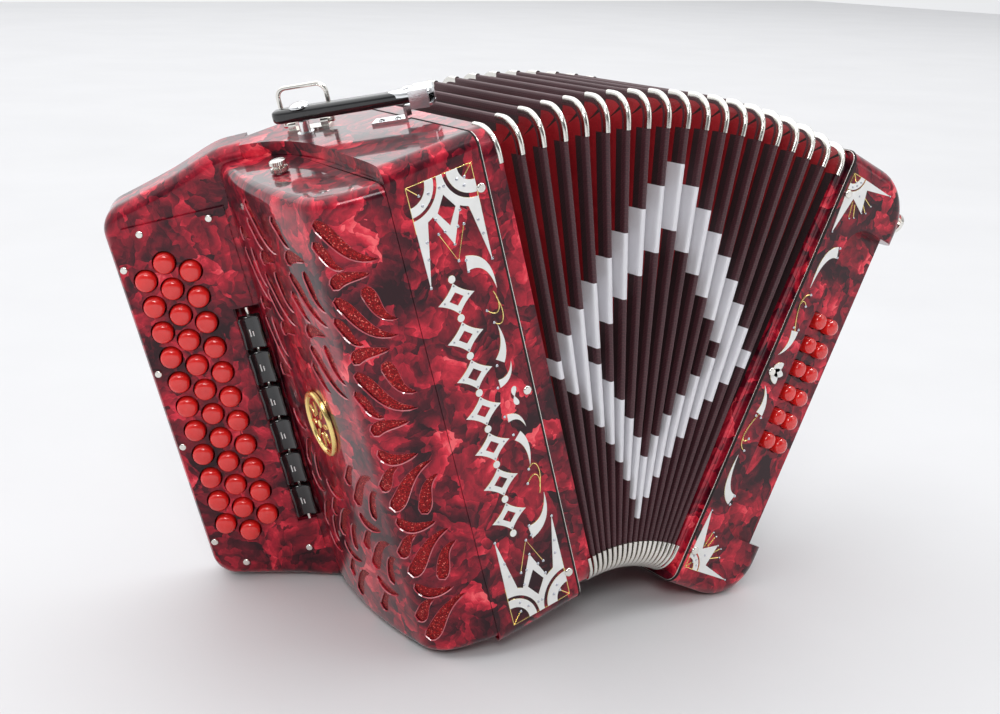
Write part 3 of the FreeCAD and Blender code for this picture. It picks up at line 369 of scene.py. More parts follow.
PEARL = pearl()
NICKEL = metal("nickel_plate", (0.80, 0.78, 0.73), 0.16)
CHROME = metal("chrome_plate", (0.86, 0.87, 0.88), 0.07)
GILT = metal("gilt", (0.95, 0.74, 0.28), 0.2)
STONE = metal("rhinestone", (0.55, 0.57, 0.62), 0.08)
GLITTER = glitter()
# painted highlight: the flame openings' chamfers are a lighter, pinker pearl that stands in for the shine along
# their edges
BEVEL_HIGHLIGHT = moulded("cut_edge_painted_highlight", (0.42, 0.045, 0.065), (0.60, 0.12, 0.15), 0.1, 1.0)
TAPE = woven("bellows_tape", (0.010, 0.004, 0.005), (0.034, 0.012, 0.015), 300.0)
# painted light: the binding is the tape's cloth in a lighter copy, because its edges face the light
LIT_BINDING = woven("bellows_binding_painted_lighter", (0.036, 0.010, 0.014), (0.090, 0.026, 0.034), 260.0, 0.5, 0.2)
LEATHERETTE = grained("red_leatherette", (0.22, 0.006, 0.010), (0.36, 0.014, 0.020))
GARNET = moulded("garnet_enamel", (0.10, 0.004, 0.006), (0.22, 0.010, 0.010), 0.12, 1.0)
THREAD = woven("thread", (0.20, 0.17, 0.15), (0.42, 0.38, 0.33), 900.0)
STRAP_LEATHER = grained("black_leather", (0.010, 0.008, 0.008), (0.028, 0.024, 0.022), 700.0, 0.5)
WHITE_TAPE = woven("white_tape", (0.70, 0.69, 0.73), (0.86, 0.86, 0.89), 1100.0, 0.35, 0.1)
WHITE_INLAY = moulded("white_inlay", (0.76, 0.76, 0.74), (0.86, 0.86, 0.85), 0.16, 0.8)
# painted shade: near-black for the shadow in the bellows' corner creases, also used for the seam gaskets
CREASE_SHADE_AND_GASKET_BLACK = grained("painted_crease_shade_and_gasket_black", (0.004, 0.002, 0.002), (0.010, 0.004, 0.004), 600.0, 0.8, 0.0)
BLACK = moulded("black_plastic", (0.006, 0.006, 0.007), (0.014, 0.014, 0.015))
BUTTON_RED = moulded("button_red", (0.66, 0.012, 0.010), (0.80, 0.022, 0.018), 0.14, 0.7)
SPRUCE = wood("spruce", (0.30, 0.19, 0.10), (0.52, 0.36, 0.20))
FELT = grained("red_felt", (0.16, 0.01, 0.01), (0.30, 0.03, 0.03), 1600.0, 0.9, 0.0)

FINISHED_NODES = (
    (PEARL, ("treble_case", "fingerboard", "button_plate", "bass_case", "bass_cover", "grille",
             "treble_bellows_frame", "bass_bellows_frame")),
    (NICKEL, ("switch_axle", "button_plate_screws", "treble_bellows_pins", "bass_bellows_pins",
              "strap_bail_upper", "strap_bail_lower", "strap_bracket_bases", "air_button",
              "strap_adjuster_wheel", "grille_thumbscrews")),
    (BUTTON_RED, ("treble_buttons_outer", "treble_buttons_middle", "treble_buttons_inner",
                  "bass_buttons_inner", "bass_buttons_outer")),
    (SPRUCE, ("treble_soundboard", "bass_soundboard", "treble_reed_blocks", "bass_reed_blocks")),
    (FELT, ("treble_pallets_outer", "treble_pallets_middle", "treble_pallets_inner")),
    (BLACK, ("latch_arm", *("register_switch_%d" % number for number in range(1, 7)))),
    (LIT_BINDING, ["bellows_fold_%02d" % number for number in range(1, FOLDS + 1)]),
    (CHROME, ("latch_bracket",)),
    (GILT, ("grille_rosette",)),
    (GLITTER, ("grille_mesh",)),
    (TAPE, ("bellows_cloth",)),
    (STRAP_LEATHER, ("bass_hand_strap",)),
)


def finish_nodes():
    """Every CAD node gets its procedural finish."""
    finish_of = {name: finish for finish, names in FINISHED_NODES for name in names}
    for name, node in frame["nodes"].items():
        node.data.materials.clear()
        node.data.materials.append(finish_of[name])


# ---------------------------------------------------------------- building pieces
def piece_from(name, mesh, body, materials, smooth_deg=35.0):
    """A shown piece with its materials, riding on a body, smooth but for its sharp edges."""
    for finish in materials:
        mesh.materials.append(finish)
    mesh.shade_smooth()
    mesh.set_sharp_from_angle(angle=math.radians(smooth_deg))
    made = bpy.data.objects.new(name, mesh)
    bpy.context.scene.collection.objects.link(made)
    if body:
        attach(made, body)
    return made


def mesh_from(name, points, faces, place, kinds=None):
    """A mesh of points in a frame's millimetres; kinds are the faces' material numbers."""
    mesh = bpy.data.meshes.new(name)
    mesh.from_pydata([place @ Vector(point) for point in points], [], faces)
    if kinds is not None:
        mesh.polygons.foreach_set("material_index", kinds)
    return mesh


def outward(mesh):
    """Faces of a closed mesh turned outwards."""
    shape = bmesh.new()
    shape.from_mesh(mesh)
    bmesh.ops.recalc_face_normals(shape, faces=shape.faces)
    shape.to_mesh(mesh)
    shape.free()
    return mesh


def merged(name, meshes):
    """Several meshes as one."""
    shape = bmesh.new()
    for mesh in meshes:
        shape.from_mesh(mesh)
        bpy.data.meshes.remove(mesh)
    whole = bpy.data.meshes.new(name)
    shape.to_mesh(whole)
    shape.free()
    return whole


def strip(rows, place, closed_rows=False, closed_run=False, kind=None):
    """A surface through rows of points; kind(row, step) numbers a face's material."""
    count = len(rows)
    length = len(rows[0])
    points = [point for row in rows for point in row]
    faces = []
    kinds = []
    for row in range(count if closed_rows else count - 1):
        after = (row + 1) % count
        for step in range(length if closed_run else length - 1):
            beside = (step + 1) % length
            faces.append((row * length + step, row * length + beside,
                          after * length + beside, after * length + step))
            kinds.append(kind(row, step) if kind else 0)
    return mesh_from("strip", points, faces, place, kinds)


def capped(rows, place):
    """A closed skin through closed rows of points, with flat ends."""
    ends = [mesh_from("end", row, [tuple(range(len(row)))], place) for row in (rows[0], rows[-1])]
    return outward(merged("capped", [strip(rows, place, closed_run=True), *ends]))


RIM_SHARE = 0.92


def lathe(profile, place, sides, ridged=0.0):
    """A turned shape about z from (radius, height) pairs; ridged adds knurling to its rim."""
    rows = []
    widest = max(radius for radius, _ in profile)
    for radius, height in profile:
        row = []
        for side in range(sides):
            angle = 2 * math.pi * side / sides
            reach = radius - ridged if radius > RIM_SHARE * widest and side % 2 else radius
            row.append((reach * math.cos(angle), reach * math.sin(angle), height))
        rows.append(row)
    return outward(strip(rows, place, closed_run=True))


def curve_mesh(loops, place, closed, bevel, extrude=0.0, flat=False):
    """Poly curves as a mesh: flat ones are filled and extruded, others are round wires."""
    curve = bpy.data.curves.new("outline", "CURVE")
    curve.dimensions = "2D" if flat else "3D"
    if flat:
        curve.fill_mode = "BOTH"
        curve.extrude = extrude
    curve.bevel_depth = bevel
    curve.bevel_resolution = 1 if flat else 2
    for loop in loops:
        spline = curve.splines.new("POLY")
        spline.points.add(len(loop) - 1)
        for point, at in zip(spline.points, loop):
            point.co = (at[0], at[1], at[2] if len(at) > 2 else 0.0, 1.0)
        spline.use_cyclic_u = closed
    holder = bpy.data.objects.new("outline", curve)
    bpy.context.scene.collection.objects.link(holder)
    bpy.context.view_layer.update()
    seen = holder.evaluated_get(bpy.context.evaluated_depsgraph_get())
    mesh = bpy.data.meshes.new_from_object(seen)
    mesh.materials.clear()
    bpy.data.objects.remove(holder)
    bpy.data.curves.remove(curve)
    mesh.transform(place)
    return mesh


def inlay(loops, place, thick=0.5, bevel=0.12):
    """Flat plates with slightly rounded edges, standing on the drawing plane."""
    lifted = place @ Matrix.Translation((0, 0, thick / 2))
    return curve_mesh(loops, lifted, True, bevel, thick / 2 - bevel, True)


def wires(lines, place, radius, closed=False):
    """Round wires along lines."""
    return curve_mesh(lines, place, closed, radius)


def arc(centre, radius, start_deg, end_deg, count=12):
    """Points along an arc in the drawing plane."""
    points = []
    for step in range(count + 1):
        angle = math.radians(start_deg + (end_deg - start_deg) * step / count)
        points.append((centre[0] + radius * math.cos(angle), centre[1] + radius * math.sin(angle)))
    return points


def bezier(points, count=16):
    """Points along a Bezier curve with any number of control points."""
    line = []
    for step in range(count + 1):
        level = [Vector(point) for point in points]
        while len(level) > 1:
            level = [first.lerp(second, step / count) for first, second in zip(level, level[1:])]
        line.append(tuple(level[0]))
    return line


ROUNDNESS = 0.62


def heading(line, step):
    """The unit direction of a line of points at one of them."""
    before = Vector(line[max(step - 1, 0)])
    after = Vector(line[min(step + 1, len(line) - 1)])
    return (after - before).normalized()


def blade(control, width, count=14, swell=0.0):
    """A pointed blade along a Bezier: full width at its start, or further along with a swell."""
    line = bezier(control, count)
    left = []
    right = []
    for step, at in enumerate(line):
        run = heading(line, step)
        t = step / count
        half = width / 2 * (1 - t)
        if swell:
            half = width / 2 * max(0.0, math.sin(math.pi * t ** swell)) ** ROUNDNESS
        left.append((at[0] - run.y * half, at[1] + run.x * half))
        right.append((at[0] + run.y * half, at[1] - run.x * half))
    if swell:
        return left + right[-2:0:-1]
    return left + right[-2::-1]


def gems(places, plane, radius):
    """Faceted stones at points of a drawing plane."""
    profile = [(radius, 0.0), (radius, 0.25), (radius * 0.62, 0.75), (0.001, 0.85)]
    return merged("gems", [lathe(profile, plane @ Matrix.Translation((x, y, 0.3)), 8)
                           for x, y in places])


# ---------------------------------------------------------------- bellows
STRAIGHT_STEPS = 14
CORNER_STEPS = 8
STATION_GAP = 1.2
IN_CORNER = -1.0
MID_CORNER = -2.0


def ring_stations(breaks=()):
    """Places round a leaf's edge, from the top of its front downwards and round.

    Each is (corner centre or None, base point, outward direction, distance to the corner), with
    IN_CORNER or MID_CORNER for the distance in a corner. Breaks are heights on the front where a
    station must lie.
    """
    high_run = LEAF_HIGH - LEAF_ROUND
    low_run = LEAF_LOW + LEAF_ROUND
    near = LEAF_FRONT + LEAF_ROUND
    far = LEAF_BACK - LEAF_ROUND
    stations = []

    def straight(start, end, out, cuts=()):
        """Stations along one side, at even steps, where the guards end and at the cuts."""
        length = (Vector(end) - Vector(start)).length
        marks = {GUARD_RUN, length - GUARD_RUN, *cuts}
        marks.update(length * step / STRAIGHT_STEPS for step in range(1, STRAIGHT_STEPS))
        last = -math.inf
        for mark in sorted(marks):
            if mark - last < STATION_GAP and mark not in cuts:
                continue
            last = mark
            at = Vector(start).lerp(Vector(end), mark / length)
            stations.append((None, at, Vector(out), min(mark, length - mark)))

    def corner(centre, first_deg):
        """Stations round one corner."""
        for step in range(CORNER_STEPS + 1):
            angle = math.radians(first_deg + 90 * step / CORNER_STEPS)
            out = Vector((math.cos(angle), math.sin(angle)))
            zone = MID_CORNER if step == CORNER_STEPS // 2 else IN_CORNER
            stations.append((Vector(centre), None, out, zone))

    straight((LEAF_FRONT, high_run), (LEAF_FRONT, low_run), (-1, 0),
             tuple(high_run - height for height in breaks))
    corner((near, low_run), 180)
    straight((near, LEAF_LOW), (far, LEAF_LOW), (0, -1))
    corner((far, low_run), 270)
    straight((LEAF_BACK, low_run), (LEAF_BACK, high_run), (1, 0))
    corner((far, high_run), 0)
    straight((far, LEAF_HIGH), (near, LEAF_HIGH), (0, 1))
    corner((near, high_run), 90)
    return stations


def ring_point(station, inset):
    """Where a station lies when the edge is moved inwards."""
    centre, base, out, _ = station
    if centre is None:
        return base - out * inset
    if inset <= LEAF_ROUND:
        return centre + out * (LEAF_ROUND - inset)
    inwards = Vector((math.copysign(1, (LEAF_FRONT + LEAF_BACK) / 2 - centre.x),
                      math.copysign(1, (LEAF_LOW + LEAF_HIGH) / 2 - centre.y)))
    return centre + inwards * (inset - LEAF_ROUND)


DIAMOND_Z = 159.0
DIAMOND_APEX = 9
DIAMOND_OUTER = 118.5
DIAMOND_RISE = 14.05
DIAMOND_BAND = 42.9


def diamond_bands(leaf):
    """Heights of the white bands on the front of one leaf, as (low, high) pairs."""
    outer = DIAMOND_OUTER - DIAMOND_RISE * abs(leaf - DIAMOND_APEX)
    inner = outer - DIAMOND_BAND
    if outer <= 0:
        return []
    if inner <= 0:
        return [(DIAMOND_Z - outer, DIAMOND_Z + outer)]
    return [(DIAMOND_Z + inner, DIAMOND_Z + outer), (DIAMOND_Z - outer, DIAMOND_Z - inner)]


def is_white(stations, step, bands):
    """Whether the face after a station lies in a white band of the front."""
    first = stations[step]
    second = stations[(step + 1) % len(stations)]
    if first[0] or second[0] or first[2].x > -0.5 or second[2].x > -0.5:
        return False
    height = (first[1].y + second[1].y) / 2
    return any(low < height < high for low, high in bands)


WALL_PROFILE = ((0.0, 0.9), (0.03, 4.0), (0.06, 7.0), (0.09, TAPE_DEEP), (0.094, TAPE_DEEP + 0.5),
                (0.22, 16.0), (0.34, WHITE_DEEP), (0.44, 27.0), (0.485, 30.5))
FOLD_PROFILE = (*WALL_PROFILE, (0.5, FOLD_DEEP),
                *((1 - share, inset) for share, inset in reversed(WALL_PROFILE)))


PANEL_FINISHES = [TAPE, LEATHERETTE, WHITE_TAPE, CREASE_SHADE_AND_GASKET_BLACK]


def bellows_panels(number):
    """The folded cloth between leaf number and the next: taped edges, a red valley and painted crease shade."""
    bands = diamond_bands(number + 1)
    own = diamond_bands(number)
    breaks = sorted({height for band in bands + own for height in band})
    stations = ring_stations(breaks)
    left = leaf_frame(number)
    right = leaf_frame(number + 1)
    rows = []
    for share, inset in FOLD_PROFILE:
        row = []
        for station in stations:
            y, z = ring_point(station, inset)
            start = left @ Vector((LEAF_HALF - LEAF_TUCK, y, z))
            end = right @ Vector((LEAF_TUCK - LEAF_HALF, y, z))
            row.append(start.lerp(end, share))
        rows.append(row)

    def kind(row, step):
        """The finish of one face, by its depth and its place round the leaf."""
        inset = max(FOLD_PROFILE[row][1], FOLD_PROFILE[row + 1][1])
        after = stations[(step + 1) % len(stations)]
        on_right = row >= len(WALL_PROFILE)
        in_corner = min(stations[step][3], after[3]) < GUARD_RUN - TOLERANCE
        if inset < WHITE_DEEP + TOLERANCE and is_white(stations, step, bands if on_right else own):
            return PANEL_FINISHES.index(WHITE_TAPE)
        # painted shade: near-black faces down the middle of each corner, deep in the fold, stand in for the shadow
        # of its crease
        if in_corner and inset > 3 and on_right and stations[step][3] == MID_CORNER:
            return PANEL_FINISHES.index(CREASE_SHADE_AND_GASKET_BLACK)
        taped = not in_corner and inset < TAPE_DEEP + TOLERANCE
        return PANEL_FINISHES.index(TAPE if taped else LEATHERETTE)

    mesh = strip(rows, Matrix.Identity(4), closed_run=True, kind=kind)
    made = piece_from("bellows_panels_%02d" % (number + 1), mesh, None, PANEL_FINISHES, 50)
    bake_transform(made)
    return made


BINDING_PROFILE = ((-1.7, 5.0), (-1.7, 1.5), (-1.35, 0.4), (-0.6, 0.0), (0.6, 0.0),
                   (1.35, 0.4), (1.7, 1.5), (1.7, 5.0))
GUARD_PROFILE = ((-GUARD_HALF, 3.0), (-GUARD_HALF, 0.5), (-1.4, -0.3), (-0.7, -0.68),
                 (0.7, -0.68), (1.4, -0.3), (GUARD_HALF, 0.5), (GUARD_HALF, 3.0))


def squeezed(across, station, inset):
    """A point of a leaf's edge; the edge is thinner towards the bottom, where leaves are close."""
    y, z = ring_point(station, inset)
    return across * min(1.0, EDGE_THIN + (1 - EDGE_THIN) * z / EDGE_FULL_Z), y, z


def leaf_binding(number):
    """The bound edge of a leaf, white where the diamond crosses it."""
    bands = diamond_bands(number)
    stations = ring_stations(sorted({height for band in bands for height in band}))
    rows = [[squeezed(across, station, inset) for station in stations]
            for across, inset in BINDING_PROFILE]
    mesh = strip(rows, leaf_frame(number), closed_run=True, closed_rows=True,
                 kind=lambda row, step: int(is_white(stations, step, bands)))
    made = piece_from("leaf_binding_%02d" % number, mesh, leaf_body(number),
                      [LIT_BINDING, WHITE_TAPE], 50)
    return made


def under_guard(station):
    """Whether a station lies in a corner or close enough to one for its guard."""
    return station[3] < GUARD_RUN + TOLERANCE


def corner_guards(number):
    """Four nickel guards bent round the corners of a leaf."""
    stations = ring_stations()
    first_bare = next(step for step, station in enumerate(stations) if not under_guard(station))
    meshes = []
    for guarded, run in itertools.groupby(stations[first_bare:] + stations[:first_bare],
                                          under_guard):
        if guarded:
            corner = list(run)
            rows = [[squeezed(across, station, inset) for station in corner]
                    for across, inset in GUARD_PROFILE]
            meshes.append(strip(rows, leaf_frame(number), closed_rows=True))
    made = piece_from("corner_guards_%02d" % number, merged("guards", meshes),
                      leaf_body(number), [NICKEL], 50)


def bellows():
    """Panels between all leaves, a binding on each leaf, and guards on leaves and end frames."""
    for number in range(FOLDS + 1):
        panels = bellows_panels(number)
        if number == 0:
            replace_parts(panels, "bellows_cloth")
    for number in range(1, FOLDS + 1):
        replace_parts(leaf_binding(number), "bellows_fold_%02d" % number)
    for number in range(FOLDS + 2):
        corner_guards(number)


# ---------------------------------------------------------------- grille
def arc_through(first, middle, last, count):
    """Points of the arc through three points."""
    (ax, ay), (bx, by), (cx, cy) = first, middle, last
    spread = 2 * (ax * (by - cy) + bx * (cy - ay) + cx * (ay - by))
    squares = [x * x + y * y for x, y in (first, middle, last)]
    centre_x = (squares[0] * (by - cy) + squares[1] * (cy - ay) + squares[2] * (ay - by)) / spread
    centre_y = (squares[0] * (cx - bx) + squares[1] * (ax - cx) + squares[2] * (bx - ax)) / spread
    start = math.atan2(ay - centre_y, ax - centre_x)
    turn = math.atan2(cy - centre_y, cx - centre_x) - start
    turn = (turn + math.pi) % (2 * math.pi) - math.pi
    radius = math.hypot(ax - centre_x, ay - centre_y)
    return [(centre_x + radius * math.cos(start + turn * step / count),
             centre_y + radius * math.sin(start + turn * step / count))
            for step in range(count + 1)]


GRILLE_FRONT = (CASE_LEFT - 0.4, 0.0)
GRILLE_BEND = (-90.0, 7.5)
GRILLE_CORNER = (-110.0, 34.0)
GRILLE_ROOT = (-102.6, 158.8)
GRILLE_NOSE = (-104.5, 17.5)
GRILLE_SIDE = (-111.5, 97.0)
GRILLE_LIP = ((0, 0), (3, 14), (5, 45), (7, 84), (3, 120), (-6, 141), (-18, 154))


class Profile:
    """The grille's plan outline by distance from its front seam: a flat, a corner and a side."""

    def __init__(self):
        front = [tuple(Vector(GRILLE_FRONT).lerp(Vector(GRILLE_BEND), step / 6))
                 for step in range(6)]
        corner = arc_through(GRILLE_BEND, GRILLE_NOSE, GRILLE_CORNER, 14)[:-1]
        side = arc_through(GRILLE_CORNER, GRILLE_SIDE, GRILLE_ROOT, 30)
        self.points = np.array(front + corner + side)
        runs = np.hypot(*np.diff(self.points, axis=0).T)
        self.reach = np.concatenate([[0.0], np.cumsum(runs)])
        self.length = float(self.reach[-1])
        tangent = np.gradient(self.points, self.reach, axis=0)
        kernel = np.array([1, 2, 3, 2, 1]) / 9
        padded = np.pad(tangent, ((2, 2), (0, 0)), mode="edge")
        smooth = np.stack([np.convolve(padded[:, axis], kernel, "valid") for axis in (0, 1)], 1)
        smooth /= np.hypot(*smooth.T)[:, None]
        self.inward = np.stack([smooth[:, 1], -smooth[:, 0]], 1)

    def at(self, distance, depth):
        """Point at a distance along the outline and a depth inwards."""
        place = [np.interp(distance, self.reach, self.points[:, axis]) for axis in (0, 1)]
        inward = [np.interp(distance, self.reach, self.inward[:, axis]) for axis in (0, 1)]
        return place[0] + inward[0] * depth, place[1] + inward[1] * depth


PLAN = Profile()
ROUND_RUN = GRILLE_ROUND * math.pi / 2
WALL_DEVELOPED = GRILLE_HIGH - GRILLE_LOW - 2 * GRILLE_ROUND + 2 * ROUND_RUN


def grille_point(distance, height, depth):
    """From the developed wall, whose rounded ends are unrolled, to the treble frame."""
    low = height < ROUND_RUN
    past = ROUND_RUN - height if low else height - (WALL_DEVELOPED - ROUND_RUN)
    if past <= 0:
        x, y = PLAN.at(distance, depth)
        return x, y, GRILLE_LOW + GRILLE_ROUND + height - ROUND_RUN
    angle = past / GRILLE_ROUND
    inset = GRILLE_ROUND - (GRILLE_ROUND - depth) * math.cos(angle)
    rise = (GRILLE_ROUND - depth) * math.sin(angle)
    x, y = PLAN.at(distance, inset)
    if low:
        return x, y, GRILLE_LOW + GRILLE_ROUND - rise
    return x, y, GRILLE_HIGH - GRILLE_ROUND + rise


RIM_DEEP = 0.6
RIM_WIDE = 0.5
GUARD_WIDE = 1.6
FLAME_BORDER = 8.0
ROSETTE_CLEAR = (106.0, 21.0, 29.0)
FLAME_GROUP = (
    ((47, 1), (35, 1), (35, -22), (13, -26), 9.0, 0.55),
    ((52, -13), (42, -11), (45, -25), (34, -27), 8.0, 0.55),
    ((27, 7), (20, 3), (25, -12), (11, -16), 8.0, 0.55),
    ((44, -39), (40, -30), (31, -32), (20, -33), 8.0, 0.55),
)
FLAME_TOPS = (140.0, 92.0, 44.0)
FLAME_COLUMNS = ((0.0, 0.0), (45.0, 9.0), (88.0, 0.0), (124.0, 8.0))


def flames():
    """Outlines of the flame openings on the developed wall, mirrored about mid height."""
    middle = WALL_DEVELOPED / 2
    shapes = []
    for along, lift in FLAME_COLUMNS:
        for top in FLAME_TOPS:
            for *control, width, swell in FLAME_GROUP:
                line = [(along + x, middle + top + lift + y) for x, y in control]
                shape = blade(line, width, 14, swell)
                if clear_of_rim(shape) and min(y for x, y in shape) > middle + 1:
                    shapes.append(shape)
                    shapes.append([(x, 2 * middle - y) for x, y in shape])
    return shapes


def clear_of_rim(shape):
    """Whether an opening keeps clear of the wall's borders and of the rosette."""
    centre, wide, tall = ROSETTE_CLEAR
    for x, y in shape:
        if not FLAME_BORDER < x < PLAN.length - FLAME_BORDER:
            return False
        if y > WALL_DEVELOPED - ROUND_RUN - 3:
            return False
        if ((x - centre) / wide) ** 2 + ((y - WALL_DEVELOPED / 2) / tall) ** 2 < 1:
            return False
    return True


def swollen(shape, margin):
    """A closed outline moved outwards."""
    after = shape[1:] + shape[:1]
    before = shape[-1:] + shape[:-1]
    area = sum(ax * by - bx * ay for (ax, ay), (bx, by) in zip(shape, after))
    outwards = margin if area > 0 else -margin
    moved = []
    for (x, y), ahead, behind in zip(shape, after, before):
        run = (Vector(ahead) - Vector(behind)).normalized()
        moved.append((x + run.y * outwards, y - run.x * outwards))
    return moved


def inside(point, shape):
    """Whether a point lies in a closed outline."""
    x, y = point
    within = False
    for (ax, ay), (bx, by) in zip(shape, shape[1:] + shape[:1]):
        if (ay > y) != (by > y) and x < (bx - ax) * (y - ay) / (by - ay) + ax:
            within = not within
    return within


def bounds_of(outline, margin):
    """Left, right, low and high of an outline, widened by a margin."""
    across = [x for x, y in outline]
    up = [y for x, y in outline]
    return min(across) - margin, max(across) + margin, min(up) - margin, max(up) + margin


def covered(x, y, outlines, boxes):
    """Whether a point lies in one of the outlines, whose boxes hold them."""
    return any(left < x < right and low < y < high and inside((x, y), outline)
               for (left, right, low, high), outline in zip(boxes, outlines))


def grille_wall():
    """The grille's wall with chamfered flame openings, bent from its developed shape."""
    shapes = flames()
    rims = [swollen(shape, RIM_WIDE) for shape in shapes]
    guards = [swollen(shape, GUARD_WIDE) for shape in shapes]
    boxes = [bounds_of(rim, GUARD_WIDE - RIM_WIDE + TOLERANCE) for rim in rims]
    across = np.linspace(0, PLAN.length, 62)
    ends = np.linspace(0, ROUND_RUN, 7)
    up = np.concatenate([ends[:-1], np.linspace(ROUND_RUN, WALL_DEVELOPED - ROUND_RUN, 92),
                         WALL_DEVELOPED - ends[-2::-1]])
    points = [(x, y) for x in across for y in up if not covered(x, y, guards, boxes)]
    depths = [0.0] * len(points)
    edges = []
    for shape, rim in zip(shapes, rims):
        for outline, depth in ((rim, 0.0), (shape, RIM_DEEP)):
            first = len(points)
            points += outline
            depths += [depth] * len(outline)
            edges += [(first + step, first + (step + 1) % len(outline))
                      for step in range(len(outline))]
    placed, _, triangles, sources_of, *_ = geometry.delaunay_2d_cdt(
        [Vector(point) for point in points], edges, [], 0, 1e-5)
    depth_of = [max((depths[source] for source in sources), default=0.0)
                for sources in sources_of]
    faces = []
    for face in triangles:
        middle = sum((placed[corner] for corner in face), Vector((0, 0))) / len(face)
        if not covered(*middle, shapes, boxes):
            faces.append(tuple(face))
    solid = [grille_point(at.x, at.y, depth) for at, depth in zip(placed, depth_of)]
    # chamfer faces take the second finish, the painted highlight
    on_rim = [int(any(depth_of[corner] > 0 for corner in face)) for face in faces]
    wall = mesh_from("grille_face", solid, faces, TREBLE, on_rim)
    edges_in = [strip([[grille_point(x, y, depth) for x, y in shape]
                       for depth in (RIM_DEEP, GRILLE_WALL)], TREBLE, closed_run=True)
                for shape in shapes]
    return merged("grille_wall", [wall, *edges_in])


def grille_cap(height, upward):
    """The flat top or bottom of the grille, from the rounded edge to the case."""
    edge = [PLAN.at(distance, GRILLE_ROUND) for distance in np.linspace(0, PLAN.length, 60)]
    back = [(CASE_LEFT + x, y) for x, y in reversed(GRILLE_LIP)]
    outline = [(x, y, height) for x, y in edge + back]
    mesh = mesh_from("cap", outline, [tuple(range(len(outline)))], TREBLE)
    mesh.update()
    direction = TREBLE.to_3x3() @ Vector((0, 0, 1 if upward else -1))
    if mesh.polygons[0].normal.dot(direction) < 0:
        mesh.flip_normals()
    return mesh


def grille():
    """The pierced shell, and the glitter cloth just behind its wall."""
    shell = [grille_wall(), grille_cap(GRILLE_HIGH, True), grille_cap(GRILLE_LOW, False)]
    made = piece_from("grille_shell", merged("grille", shell), "treble", [PEARL, BEVEL_HIGHLIGHT], 32)
    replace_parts(made, "grille")
    rows = [[grille_point(distance, height, GRILLE_WALL - 0.2)
             for distance in np.linspace(8, PLAN.length - 6, 90)]
            for height in np.linspace(ROUND_RUN, WALL_DEVELOPED - ROUND_RUN, 3)]
    cloth = piece_from("grille_glitter", strip(rows, TREBLE), "treble", [GLITTER])
    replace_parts(cloth, "grille_mesh")


THUMBSCREW_AT = (-88, 96)
THUMBSCREW = ((0.001, 8.2), (4.0, 8.2), (5.2, 7.6), (5.2, 5.2), (4.4, 4.7), (3.4, 4.4),
              (3.4, 3.8), (5.6, 3.4), (5.6, 1.0), (4.8, 0.6), (3.0, 0.5), (3.0, 0.0))


def thumbscrews():
    """A knurled double-headed screw on each end of the grille."""
    for name, height, flip in (("upper", GRILLE_HIGH, 1), ("lower", GRILLE_LOW, -1)):
        place = (TREBLE @ Matrix.Translation((*THUMBSCREW_AT, height))
                 @ Matrix.Diagonal((1, 1, flip, 1)))
        made = piece_from("thumbscrew_" + name, lathe(THUMBSCREW, place, 48, ridged=0.5), "treble",
                          [NICKEL], 40)
        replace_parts(made, "grille_thumbscrews")


# ---------------------------------------------------------------- buttons, tabs and rosette
TREBLE_ROWS = (("outer", 14.85, 11), ("middle", 0.0, 12), ("inner", -14.85, 11))
BUTTON_PITCH = 18.5
BUTTON_MID = 159.0
TREBLE_BUTTON = ((6.95, -3.0), (6.95, 3.9), (6.8, 4.9), (6.3, 5.7), (5.4, 6.3), (4.2, 6.75),
                 (2.6, 7.05), (0.001, 7.2))
BASS_COLUMNS = (("inner", 47.7), ("outer", 60.8))
BASS_PITCH = 18.3
BASS_MID = 160.7
RECESS_DEEP = 15.0
BASS_BUTTON = ((5.85, -1.0), (5.85, 5.0), (5.6, 6.1), (4.9, 7.0), (3.8, 7.6), (2.2, 7.95),
               (0.001, 8.1))
SWITCHES = 6
SWITCH_U = -42.3
SWITCH_PITCH = 25.9
SWITCH_MID = 136.8
SWITCH_BASE = 1.5
SWITCH_PROFILE = ((-7.3, SWITCH_BASE), (-7.3, 7.2), (-6.9, 8.3), (-5.9, 8.6), (-4.6, 7.7), (-2.6, 6.3),
                  (0.0, 5.7), (2.4, 5.9), (4.4, 6.9), (5.9, 8.5), (7.0, 8.6), (7.4, 7.6),
                  (7.4, SWITCH_BASE))
SWITCH_DASHES = (((1.5, 5.9, -2.6), (1.5, 5.9, 2.6)), ((-0.4, 5.8, -2.6), (-0.4, 5.8, 1.0)))
SWITCH_ENDS = ((-11.3, 0.86), (-10.9, 0.95), (-10.0, 1.0), (0.0, 0.94), (10.0, 1.0),
               (10.9, 0.95), (11.3, 0.86))


def spaced(middle, pitch, count):
    """Evenly spaced heights about a middle."""
    return [middle + (index - (count - 1) / 2) * pitch for index in range(count)]


def stud(profile, place, turn_deg):
    """A turned button that points along a frame's y, forwards or backwards."""
    return lathe(profile, place @ Matrix.Rotation(math.radians(turn_deg), 4, "X"), 36)


def button_group(name, group, profile, frames, turn_deg):
    """One piece for the buttons of a row or column, which press together."""
    studs = [stud(profile, place, turn_deg) for place in frames]
    return piece_from(name, merged("studs", studs), group, [BUTTON_RED], 60)


def buttons():
    """Domed buttons of the treble rows and bass columns."""
    for name, across, count in TREBLE_ROWS:
        frames = [BOARD @ Matrix.Translation((across, 0, z))
                  for z in spaced(BUTTON_MID, BUTTON_PITCH, count)]
        made = button_group("treble_row_" + name, "treble_button_row_" + name, TREBLE_BUTTON,
                            frames, -90)
        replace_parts(made, "treble_buttons_" + name)
    for name, x in BASS_COLUMNS:
        frames = [BASS @ Matrix.Translation((x, RECESS_DEEP, z))
                  for z in spaced(BASS_MID, BASS_PITCH, 6)]
        made = button_group("bass_column_" + name, "bass_button_column_" + name, BASS_BUTTON,
                            frames, 90)
        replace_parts(made, "bass_buttons_" + name)


